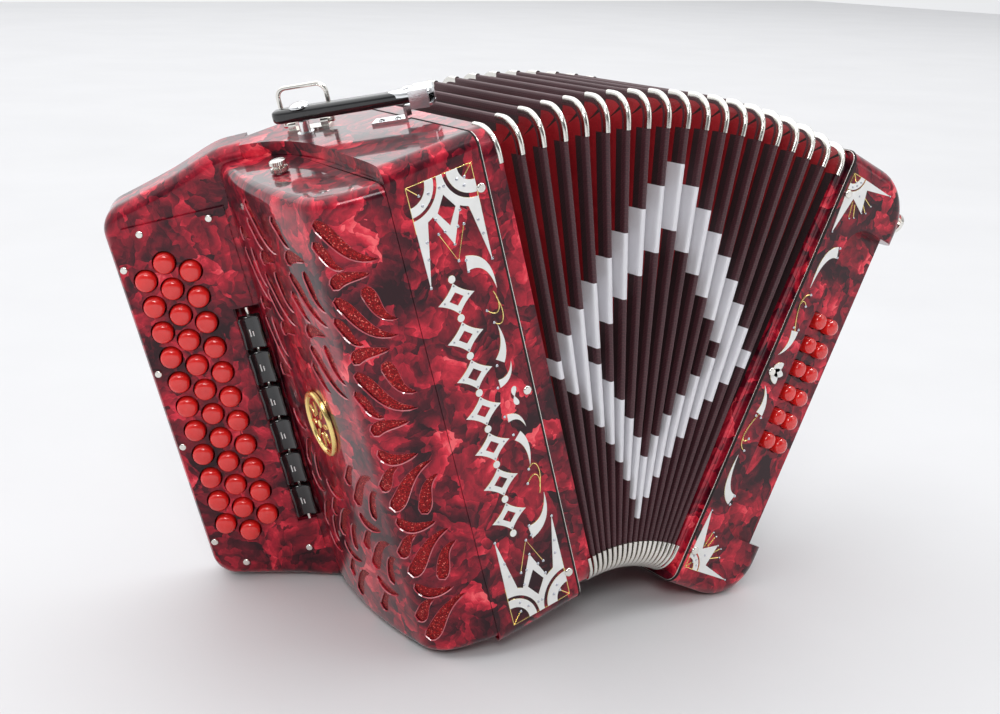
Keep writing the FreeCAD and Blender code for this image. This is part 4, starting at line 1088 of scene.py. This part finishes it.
def register_tabs():
    """Dished black tabs with raised lips, each with two small white dashes; the first is on top."""
    for number, z in enumerate(reversed(spaced(SWITCH_MID, SWITCH_PITCH, SWITCHES)), 1):
        place = BOARD @ Matrix.Translation((SWITCH_U, 0, z))
        rows = [[(u * grow, SWITCH_BASE + (w - SWITCH_BASE) * grow, along)
                 for u, w in SWITCH_PROFILE] for along, grow in SWITCH_ENDS]
        made = piece_from("register_tab_%d" % number, capped(rows, place), "switch_%d" % number,
                          [BLACK], 40)
        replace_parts(made, "register_switch_%d" % number)
        mark = piece_from("tab_dash_%d" % number, wires(SWITCH_DASHES, place, 0.42),
                          "switch_%d" % number, [WHITE_INLAY])


ROSETTE_AT = (-112.6, 82.0, 158.0)
ROSETTE_WIDE = 16.0 / 23.0
ROSETTE_RING = ((23.0, 0.0), (23.0, 1.7), (22.3, 2.5), (20.8, 2.7), (19.2, 2.3), (18.4, 1.3),
                (18.4, 0.0))
ROSETTE_DISC = ((18.6, 1.3), (12.0, 1.5), (0.001, 1.6))
PETALS = 8


def rosette():
    """Oval gilt ring round a dark disc with a ring of petals."""
    plane = (TREBLE @ axes(ROSETTE_AT, (0, -1, 0), (0, 0, 1), (-1, 0, 0))
             @ Matrix.Diagonal((ROSETTE_WIDE, 1, 1, 1)))
    ring = lathe(ROSETTE_RING, plane, 72)
    petals = []
    for number in range(PETALS):
        angle = 2 * math.pi * number / PETALS
        reach = [(r * math.cos(angle), r * math.sin(angle)) for r in (6.5, 11.0, 16.0)]
        petals.append(blade(reach, 3.4, 10, 0.8))
    lifted = plane @ Matrix.Translation((0, 0, 1.3))
    parts = [ring, inlay(petals, lifted, 0.7), gems([(0, 0)], lifted, 3.0)]
    made = piece_from("rosette_gilt", merged("rosette", parts), "treble", [GILT], 35)
    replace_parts(made, "grille_rosette")
    disc = piece_from("rosette_disc", lathe(ROSETTE_DISC, plane, 72), "treble", [GARNET])


# ---------------------------------------------------------------- latch arm
ARM_STATIONS = ((4.0, 4.2, 3.6), (10.0, 5.0, 4.1), (40.0, 5.4, 4.3), (80.0, 5.6, 4.5),
                (92.0, 5.6, 4.5), (95.2, 4.6, 4.2), (97.0, 3.0, 3.4), (97.8, 1.2, 2.0))
ARM_CAP = ((6.6, 0.0), (6.6, 0.7), (5.9, 1.7), (4.4, 2.6), (2.4, 3.2), (0.001, 3.4))
ARM_CAP_AT = 79.0
CLIP_STATIONS = ((-7.6, 3.0, 3.6), (-6.6, 5.2, 4.9), (-3.0, 6.2, 5.3), (6.0, 6.2, 5.3),
                 (12.0, 5.8, 5.0), (17.0, 4.4, 4.8), (20.0, 2.2, 4.6))
BAR_SIDES = 28
RIVET = ((2.2, 0.0), (2.2, 0.6), (1.2, 1.2), (0.001, 1.3))
SCREW_HEAD = ((2.4, 0.0), (2.3, 0.7), (1.2, 1.3), (0.001, 1.4))


def rounded_bar(stations, place, low=-1.0):
    """A bar along x from (x, half width, half thickness); low cuts its underside off at a share."""
    rows = []
    for x, wide, thick in stations:
        row = []
        for side in range(BAR_SIDES):
            angle = 2 * math.pi * side / BAR_SIDES
            turn = (math.cos(angle), math.sin(angle))
            y, z = [math.copysign(abs(part) ** ROUNDNESS, part) for part in turn]
            row.append((x, y * wide, max(z, low) * thick))
        rows.append(row)
    return capped(rows, place)


def latch():
    """Black arm with a domed chrome cap on its stud and a chrome clip over its root."""
    bar = piece_from("latch_bar", rounded_bar(ARM_STATIONS, ARM), "latch", [BLACK], 40)
    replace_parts(bar, "latch_arm")
    cap = lathe(ARM_CAP, ARM @ Matrix.Translation((ARM_CAP_AT, 0, 4.2)), 40)
    clip = rounded_bar(CLIP_STATIONS, ARM, 0.2)
    rivet = lathe(RIVET, ARM @ Matrix.Translation((9.0, 0, 5.0)), 20)
    made = piece_from("latch_chrome", merged("chrome", [cap, clip, rivet]), "latch", [CHROME], 40)
    heads = [lathe(SCREW_HEAD, ARM @ Matrix.Translation((x, 0, BRACKET_TOP)), 20)
             for x in (18.0, 28.5)]
    screws = piece_from("bracket_screws", merged("screws", heads), "treble", [CHROME], 40)


# ---------------------------------------------------------------- bass hand strap
STRAP_FACE = 77.3
STRAP_CROWN = 36.0
STRAP_MIDDLE = 97.0
STRAP_WIDE = 62.0
STRAP_LOW = 22.0
STRAP_HIGH = 298.0
SEAM_SHARE = 0.88
SEAM_LIFT = 3.55
STRAP_HALF = ((1.0, 0.9), (0.985, 2.4), (0.93, 3.4), (0.84, 3.6), (0.82, 3.2), (0.80, 3.7),
              (0.6, 5.3), (0.3, 6.2))
STRAP_SECTION = (*((-share, lift) for share, lift in STRAP_HALF), (0.0, 6.5),
                 *reversed(STRAP_HALF), (0.98, 0.1), (0.0, 0.0), (-0.98, 0.1))
PLATE_SCREW = ((3.4, 0.6), (3.4, 1.8), (2.4, 2.8), (0.001, 3.1))


def strap_band(line):
    """The band's skin along its line, and the two lines of its stitching."""
    rows = []
    seams = ([], [])
    for step, (x, z) in enumerate(line):
        run = heading(line, step)
        out = Vector((run.y, -run.x))
        plump = 0.45 + 0.55 * min(1.0, 6 * min(step, len(line) - 1 - step) / len(line))
        row = []
        for share, lift in STRAP_SECTION:
            reach = lift * plump if lift > 3 else lift
            row.append((x + out.x * reach, STRAP_MIDDLE + share * STRAP_WIDE / 2, z + out.y * reach))
        rows.append(row)
        for seam, side in zip(seams, (-SEAM_SHARE, SEAM_SHARE)):
            seam.append((x + out.x * SEAM_LIFT * plump, STRAP_MIDDLE + side * STRAP_WIDE / 2,
                         z + out.y * SEAM_LIFT * plump))
    return capped(rows, BASS), seams


def strap_plates():
    """A screwed nickel plate over each end of the strap."""
    plates = []
    for z in (STRAP_LOW + 6, STRAP_HIGH - 6):
        plate = BASS @ axes((STRAP_FACE + 4.2, STRAP_MIDDLE, z), (0, 1, 0), (0, 0, 1), (1, 0, 0))
        plates.append(inlay([arc((-24, 0), 5, 90, 270, 8) + arc((24, 0), 5, -90, 90, 8)],
                            plate, 1.6, 0.5))
        plates += [lathe(PLATE_SCREW, plate @ Matrix.Translation((x, 0, 0)), 20)
                   for x in (-20, 20)]
    return merged("plates", plates)


def hand_strap():
    """Padded leather strap arched over the bass side, stitched along both edges."""
    line = arc_through((STRAP_FACE, STRAP_LOW), (STRAP_FACE + STRAP_CROWN, MIDDLE_Z),
                       (STRAP_FACE, STRAP_HIGH), 48)
    band, seams = strap_band(line)
    made = piece_from("hand_strap", band, "bass", [STRAP_LEATHER], 50)
    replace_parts(made, "bass_hand_strap")
    stitches = [seam[step:step + 2] for seam in seams for step in range(2, len(seam) - 3)]
    thread = piece_from("strap_stitches", wires(stitches, BASS, 0.35), "bass", [THREAD])
    held = piece_from("strap_plates", strap_plates(), "bass", [NICKEL], 40)


# ---------------------------------------------------------------- seams
CASE_DEEP = 178.0
CASE_ROUND = 9.0


def seam_ring(x, low, high, inset):
    """A loop round a case at one x, just inside its outline."""
    near = CASE_ROUND
    far = CASE_DEEP - CASE_ROUND
    corners = ((far, high - CASE_ROUND, 0), (near, high - CASE_ROUND, 90),
               (near, low + CASE_ROUND, 180), (far, low + CASE_ROUND, 270))
    return [(x, *point) for y, z, start in corners
            for point in arc((y, z), CASE_ROUND - inset, start, start + 90, 6)]


def seams():
    """Gasket and bright line between each case and its bellows frame; the near-black gasket also paints the shade
    in the seam's gap.
    """
    for case, place, gasket_x, line_x, low, high in (
            ("treble", TREBLE, CASE_SEAM, CASE_SEAM + 1.3, 0.0, 324.0),
            ("bass", BASS, 7.5, 6.2, -2.0, 321.0)):
        # partly painted shade: the near-black ring stands for the gasket and darkens the seam's gap as well
        gasket_and_seam_shade = wires([seam_ring(gasket_x, low, high, 0.4)], place, 0.8, True)
        made = piece_from(case + "_gasket", gasket_and_seam_shade, case, [CREASE_SHADE_AND_GASKET_BLACK])
        line = wires([seam_ring(line_x, low, high, 0.75)], place, 0.28, True)
        made = piece_from(case + "_line", line, case, [NICKEL])


# ---------------------------------------------------------------- front ornaments
PANEL_LEFT = -56.9
PANEL_RIGHT = -12.1
PANEL_LOW = 9.4
PANEL_HIGH = 308.5
PANEL_WIDE = PANEL_RIGHT - PANEL_LEFT
PANEL_MIDDLE = (PANEL_LOW + PANEL_HIGH) / 2
INLAY_Y = -0.02


class Inlays:
    """White plates, gold wires and stones for the front of one case."""

    def __init__(self):
        self.whites = []
        self.golds = []
        self.stones = []

    def plates(self, shapes, plane, edge=0.24):
        """Gold-edged plates; a shape is its outline, then its holes or further outlines."""
        self.whites += [inlay(shape, plane) for shape in shapes]
        self.golds.append(wires([loop for shape in shapes for loop in shape], plane, edge, True))

    def lines(self, lines, plane, radius):
        """Gold wires."""
        self.golds.append(wires(lines, plane, radius))

    def gems(self, places, plane, radius=1.05):
        """Stones at points of the plane."""
        self.stones.append(gems(places, plane, radius))

    def sprays(self, plane, horns, vines, stones):
        """Horns, vines and stones, and their mirror image below the plane's middle."""
        for flip in (1, -1):
            side = plane @ Matrix.Diagonal((1, flip, 1, 1))
            self.plates([[blade(control, width)] for *control, width in horns], side)
            self.lines([bezier([(x, y, 0.3) for x, y in vine]) for vine in vines], side, 0.34)
            self.gems(stones, side)

    def show(self, case):
        """One piece for each finish, on the case's body."""
        for name, meshes, finish, slot in (("white", self.whites, WHITE_INLAY, "pearl_shell"),
                                           ("gold", self.golds, GILT, "gilt"),
                                           ("stone", self.stones, STONE, "nickel")):
            made = piece_from(case + "_inlay_" + name, merged(name, meshes), case, [finish], 30)


def sunburst():
    """Corner piece of the treble front: two quarter suns and a pennant, hanging from y = 0."""
    wide = PANEL_WIDE
    left_ring = arc((0, 0), 12.5, 0, -90) + arc((0, 0), 18.0, -90, 0)
    right_ring = arc((wide, 0), 10.0, 180, 270) + arc((wide, 0), 17.5, 270, 180)
    body = arc((0, 0), 20.5, -90, 0, 14) + arc((wide, 0), 20.5, 180, 270, 14)
    body += [(wide - 0.4, -60.0), (wide - 7.6, -24.4)]
    body += arc((wide, 0), 25.2, 251, 238, 4)
    body += [(wide / 2, -42.5)]
    body += arc((0, 0), 25.2, -60, -70, 4)
    body += [(0.6, -62.0)]
    hole = [(wide / 2, -11.5), (wide / 2 + 6.4, -21), (wide / 2, -31), (wide / 2 - 6.4, -21)]
    return [[left_ring], [right_ring], [body, hole]]


SUNBURST_STONES = ((0.6, -62), (44.4, -60), (22.4, -42.4), (5, -35), (3.6, -45), (41, -34),
                   (42.4, -43), (14, -24), (30.8, -24), (18, -33), (27, -33), (7.8, -13.3),
                   (13.3, -7.8), (37, -11.3), (33.2, -6.2), (21, -7), (24, -7))
SUNBURST_V = ((PANEL_WIDE / 2 - 8.8, -33), (PANEL_WIDE / 2, -53), (PANEL_WIDE / 2 + 8.8, -33))
CHAIN_X = 15.0
CHAIN_PITCH = 25.0
TREBLE_HORNS = (((27, 93), (42, 92), (43, 72), 9.0), ((34, 26), (41, 34), (38, 48), 6.5),
                ((30, 12), (39, 12), (41, 22), 5.0))
TREBLE_VINES = (((40, 70), (44, 62), (42, 50), (33, 60)), ((41, 66), (46, 54), (42, 44), (36, 51)))
TREBLE_STONES = ((27, 88), (27, 95), (33, 60), (36, 51), (31, 24), (28, 10))
BASS_HORNS = (((26, 93), (14, 90), (14.9, 64), 8.0), ((17.9, 31), (20, 20), (12.5, 12), 6.0))
BASS_VINES = (((18.3, 58.4), (10, 57), (11, 44), (17.9, 31)),
              ((12.6, 50), (13, 53), (16, 53), (17.9, 49.7)))
BASS_STONES = ((27.5, 90), (26.5, 96.5), (18.3, 58.4), (17.9, 49.7), (20.6, 33), (15.4, 33))
CORNER_RAYS = (((9.5, -17.5), (12, -29)), ((12.5, -18.5), (16, -27)), ((19, -11), (27, -14)),
               ((18, -14), (25, -20)))
CORNER_STONES = ((4.8, -4.8), (41, -0.6), (21, -21.5), (2, -43), (12, -29), (16, -27), (27, -14),
                 (25, -20), (9.2, -3.4), (6.8, -6.8), (3.4, -9.2), (13, -12))


def lozenge(x, y, half_wide, half_tall):
    """The four points of a diamond."""
    return [(x, y + half_tall), (x + half_wide, y), (x, y - half_tall), (x - half_wide, y)]


def scallop(x, y, half_wide, half_tall):
    """A four-pointed tile with hollowed sides."""
    tips = lozenge(x, y, half_wide, half_tall)
    outline = []
    for first, second in zip(tips, tips[1:] + tips[:1]):
        inner = (x + 0.36 * (first[0] + second[0] - 2 * x), y + 0.36 * (first[1] + second[1] - 2 * y))
        outline += bezier([first, inner, second], 6)[:-1]
    return outline


def chain(inlays, plane):
    """Seven hollow tiles joined by round links, with stones at the tiles' points."""
    heights = [step * CHAIN_PITCH for step in range(-3, 4)]
    for y in heights:
        inlays.plates([[scallop(CHAIN_X, y, 12.5, 9.8), lozenge(CHAIN_X, y, 5.2, 4.4)]], plane)
    links = [arc((CHAIN_X, y + CHAIN_PITCH / 2), 2.3, 0, 330, 11)
             for y in (heights[0] - CHAIN_PITCH, *heights)]
    inlays.plates([links], plane, 0.22)
    inlays.gems([(CHAIN_X + dx, y + dy) for y in heights
                 for dx, dy in ((8.4, 0), (-8.4, 0), (0, 8.2), (0, -8.2))], plane, 0.7)


def treble_ornaments():
    """Inlay on the treble case's front: corner suns, a chain of tiles, horns, vines, a flower."""
    inlays = Inlays()
    for height, flip in ((PANEL_HIGH, 1), (PANEL_LOW, -1)):
        plane = (front_plane(TREBLE, INLAY_Y, PANEL_LEFT, height)
                 @ Matrix.Diagonal((1, flip, 1, 1)))
        inlays.plates(sunburst(), plane, 0.22)
        inlays.lines([SUNBURST_V, [(0, -28), (0, 0), (PANEL_WIDE, 0), (PANEL_WIDE, -28)]],
                     plane, 0.38)
        inlays.lines([[(0, 0), (6.5, -6.5)], [(PANEL_WIDE, 0), (PANEL_WIDE - 6, -6)]], plane, 0.3)
        inlays.gems([*SUNBURST_STONES, *SUNBURST_V, (7, -7), (PANEL_WIDE - 6.5, -6.5)], plane)
    middle = front_plane(TREBLE, INLAY_Y, PANEL_LEFT, PANEL_MIDDLE)
    chain(inlays, middle)
    inlays.sprays(middle, TREBLE_HORNS, TREBLE_VINES, TREBLE_STONES)
    flower = [bezier(((38, 0), (33, 7), (44, 9), (39, 1.5)), 12),
              bezier(((38, 0), (33, -7), (44, -9), (39, -1.5)), 12)]
    inlays.whites.append(inlay([petal[:-1] for petal in flower], middle))
    inlays.show("treble")


def bass_ornaments():
    """Inlay on the bass case's front strip: corner suns, horns, vines and a small flower."""
    inlays = Inlays()
    for height, flip in ((306.7, 1), (12.3, -1)):
        plane = front_plane(BASS, INLAY_Y, 10.6, height) @ Matrix.Diagonal((1, flip, 1, 1))
        ring = arc((0, 0), 7.5, 0, -90) + arc((0, 0), 11.5, -90, 0)
        spikes = arc((0, 0), 13.0, -90, 0) + [(41, -0.6), (17.5, -5.6), (21, -21.5), (8.5, -15.5),
                                              (2.0, -43)]
        inlays.plates([[ring], [spikes]], plane, 0.26)
        inlays.lines([[(0, -13), (0, 0), (13, 0)], [(0, 0), (4.5, -4.5)], *CORNER_RAYS],
                     plane, 0.36)
        inlays.gems(CORNER_STONES, plane, 0.8)
    middle = front_plane(BASS, INLAY_Y, 0, MIDDLE_Z)
    inlays.sprays(middle, BASS_HORNS, BASS_VINES, BASS_STONES)
    petals = []
    for turn in (-50, 0, 50):
        angle = math.radians(turn)
        tip = (14 + 10 * math.cos(angle), 10 * math.sin(angle))
        petals.append([blade(((14, 0), tip), 6.0, 10, 0.8)])
    inlays.plates(petals, middle, 0.22)
    inlays.show("bass")


# ---------------------------------------------------------------- floor, light and camera
FLOOR_SIZE = 8.0
FLOOR_GAP = 0.0002
STAGE_MIDDLE = (0.0, 0.0, 0.15)


def floor():
    """A wide flat sweep just under the object."""
    mesh = bpy.data.meshes.new("floor")
    corners = [(-FLOOR_SIZE, -FLOOR_SIZE), (FLOOR_SIZE, -FLOOR_SIZE), (FLOOR_SIZE, FLOOR_SIZE),
               (-FLOOR_SIZE, FLOOR_SIZE)]
    mesh.from_pydata([(x, y, cad_box[0].z - FLOOR_GAP) for x, y in corners], [], [(0, 1, 2, 3)])
    made = bpy.data.objects.new("floor", mesh)
    bpy.context.scene.collection.objects.link(made)
    mesh.materials.append(shop_floor())


def softbox(name, place, target, wide, tall, watts, sheen_only=False):
    """A large rectangular area light that faces a target; sheen_only lights reflections alone."""
    light = bpy.data.lights.new(name, "AREA")
    light.shape = "RECTANGLE"
    light.size = wide
    light.size_y = tall
    light.energy = watts
    made = bpy.data.objects.new(name, light)
    made.location = place
    made.rotation_euler = (Vector(target) - Vector(place)).to_track_quat("-Z", "Y").to_euler()
    made.visible_diffuse = not sheen_only
    bpy.context.scene.collection.objects.link(made)


def studio_world():
    """A white tent that is bright above and behind and dim in front."""
    world = bpy.data.worlds.new("studio")
    world.use_nodes = True
    nodes = world.node_tree.nodes
    links = world.node_tree.links
    parts = nodes.new("ShaderNodeSeparateXYZ")
    links.new(nodes.new("ShaderNodeTexCoord").outputs["Generated"], parts.inputs[0])
    mixed = nodes.new("ShaderNodeMath")
    mixed.operation = "MULTIPLY_ADD"
    links.new(parts.outputs["Z"], mixed.inputs[0])
    mixed.inputs[1].default_value = 0.8
    links.new(parts.outputs["Y"], mixed.inputs[2])
    band = nodes.new("ShaderNodeMapRange")
    links.new(mixed.outputs[0], band.inputs["Value"])
    for socket, value in (("From Min", -0.7), ("From Max", 0.8), ("To Min", 0.12),
                          ("To Max", 0.95)):
        band.inputs[socket].default_value = value
    back = nodes["Background"]
    back.inputs["Color"].default_value = (0.97, 0.98, 1.0, 1)
    links.new(band.outputs[0], back.inputs["Strength"])
    return world


def lighting():
    """Soft studio: the tent, a broad light above, and a key, a fill and a strip for the shine."""
    bpy.context.scene.world = studio_world()
    bpy.context.scene.view_settings.view_transform = "Standard"
    softbox("key", (-1.3, -1.9, 1.7), STAGE_MIDDLE, 0.9, 0.7, 24)
    softbox("top", (0.2, 3.4, 3.6), (0.2, 3.3, 0.0), 12.0, 10.0, 285)
    softbox("strip", (0.95, -0.9, 1.95), STAGE_MIDDLE, 1.1, 0.14, 30, sheen_only=True)
    softbox("fill", (2.0, -1.8, 1.0), STAGE_MIDDLE, 1.2, 1.6, 8)


CAMERA_AT = (-427.1, -749.1, 562.2)
CAMERA_AIM = (0.435, 0.805, -0.403)
CAMERA_UP = (0.387, 0.237, 0.891)
CAMERA_LENS = 55.44


def camera():
    """The three-quarter view from the treble side, a little above."""
    data = bpy.data.cameras.new("camera")
    data.lens = CAMERA_LENS
    data.sensor_width = 36.0
    turn = TREBLE.to_3x3() @ Matrix.Scale(1 / MM, 3)
    ahead = (turn @ Vector(CAMERA_AIM)).normalized()
    right = ahead.cross(turn @ Vector(CAMERA_UP)).normalized()
    made = bpy.data.objects.new("camera", data)
    made.matrix_world = axes(TREBLE @ Vector(CAMERA_AT), right, right.cross(ahead), -ahead)
    bpy.context.scene.collection.objects.link(made)
    bpy.context.scene.camera = made


camera()
lighting()
floor()
finish_nodes()
bellows()
grille()
thumbscrews()
buttons()
register_tabs()
rosette()
seams()
latch()
hand_strap()
treble_ornaments()
bass_ornaments()
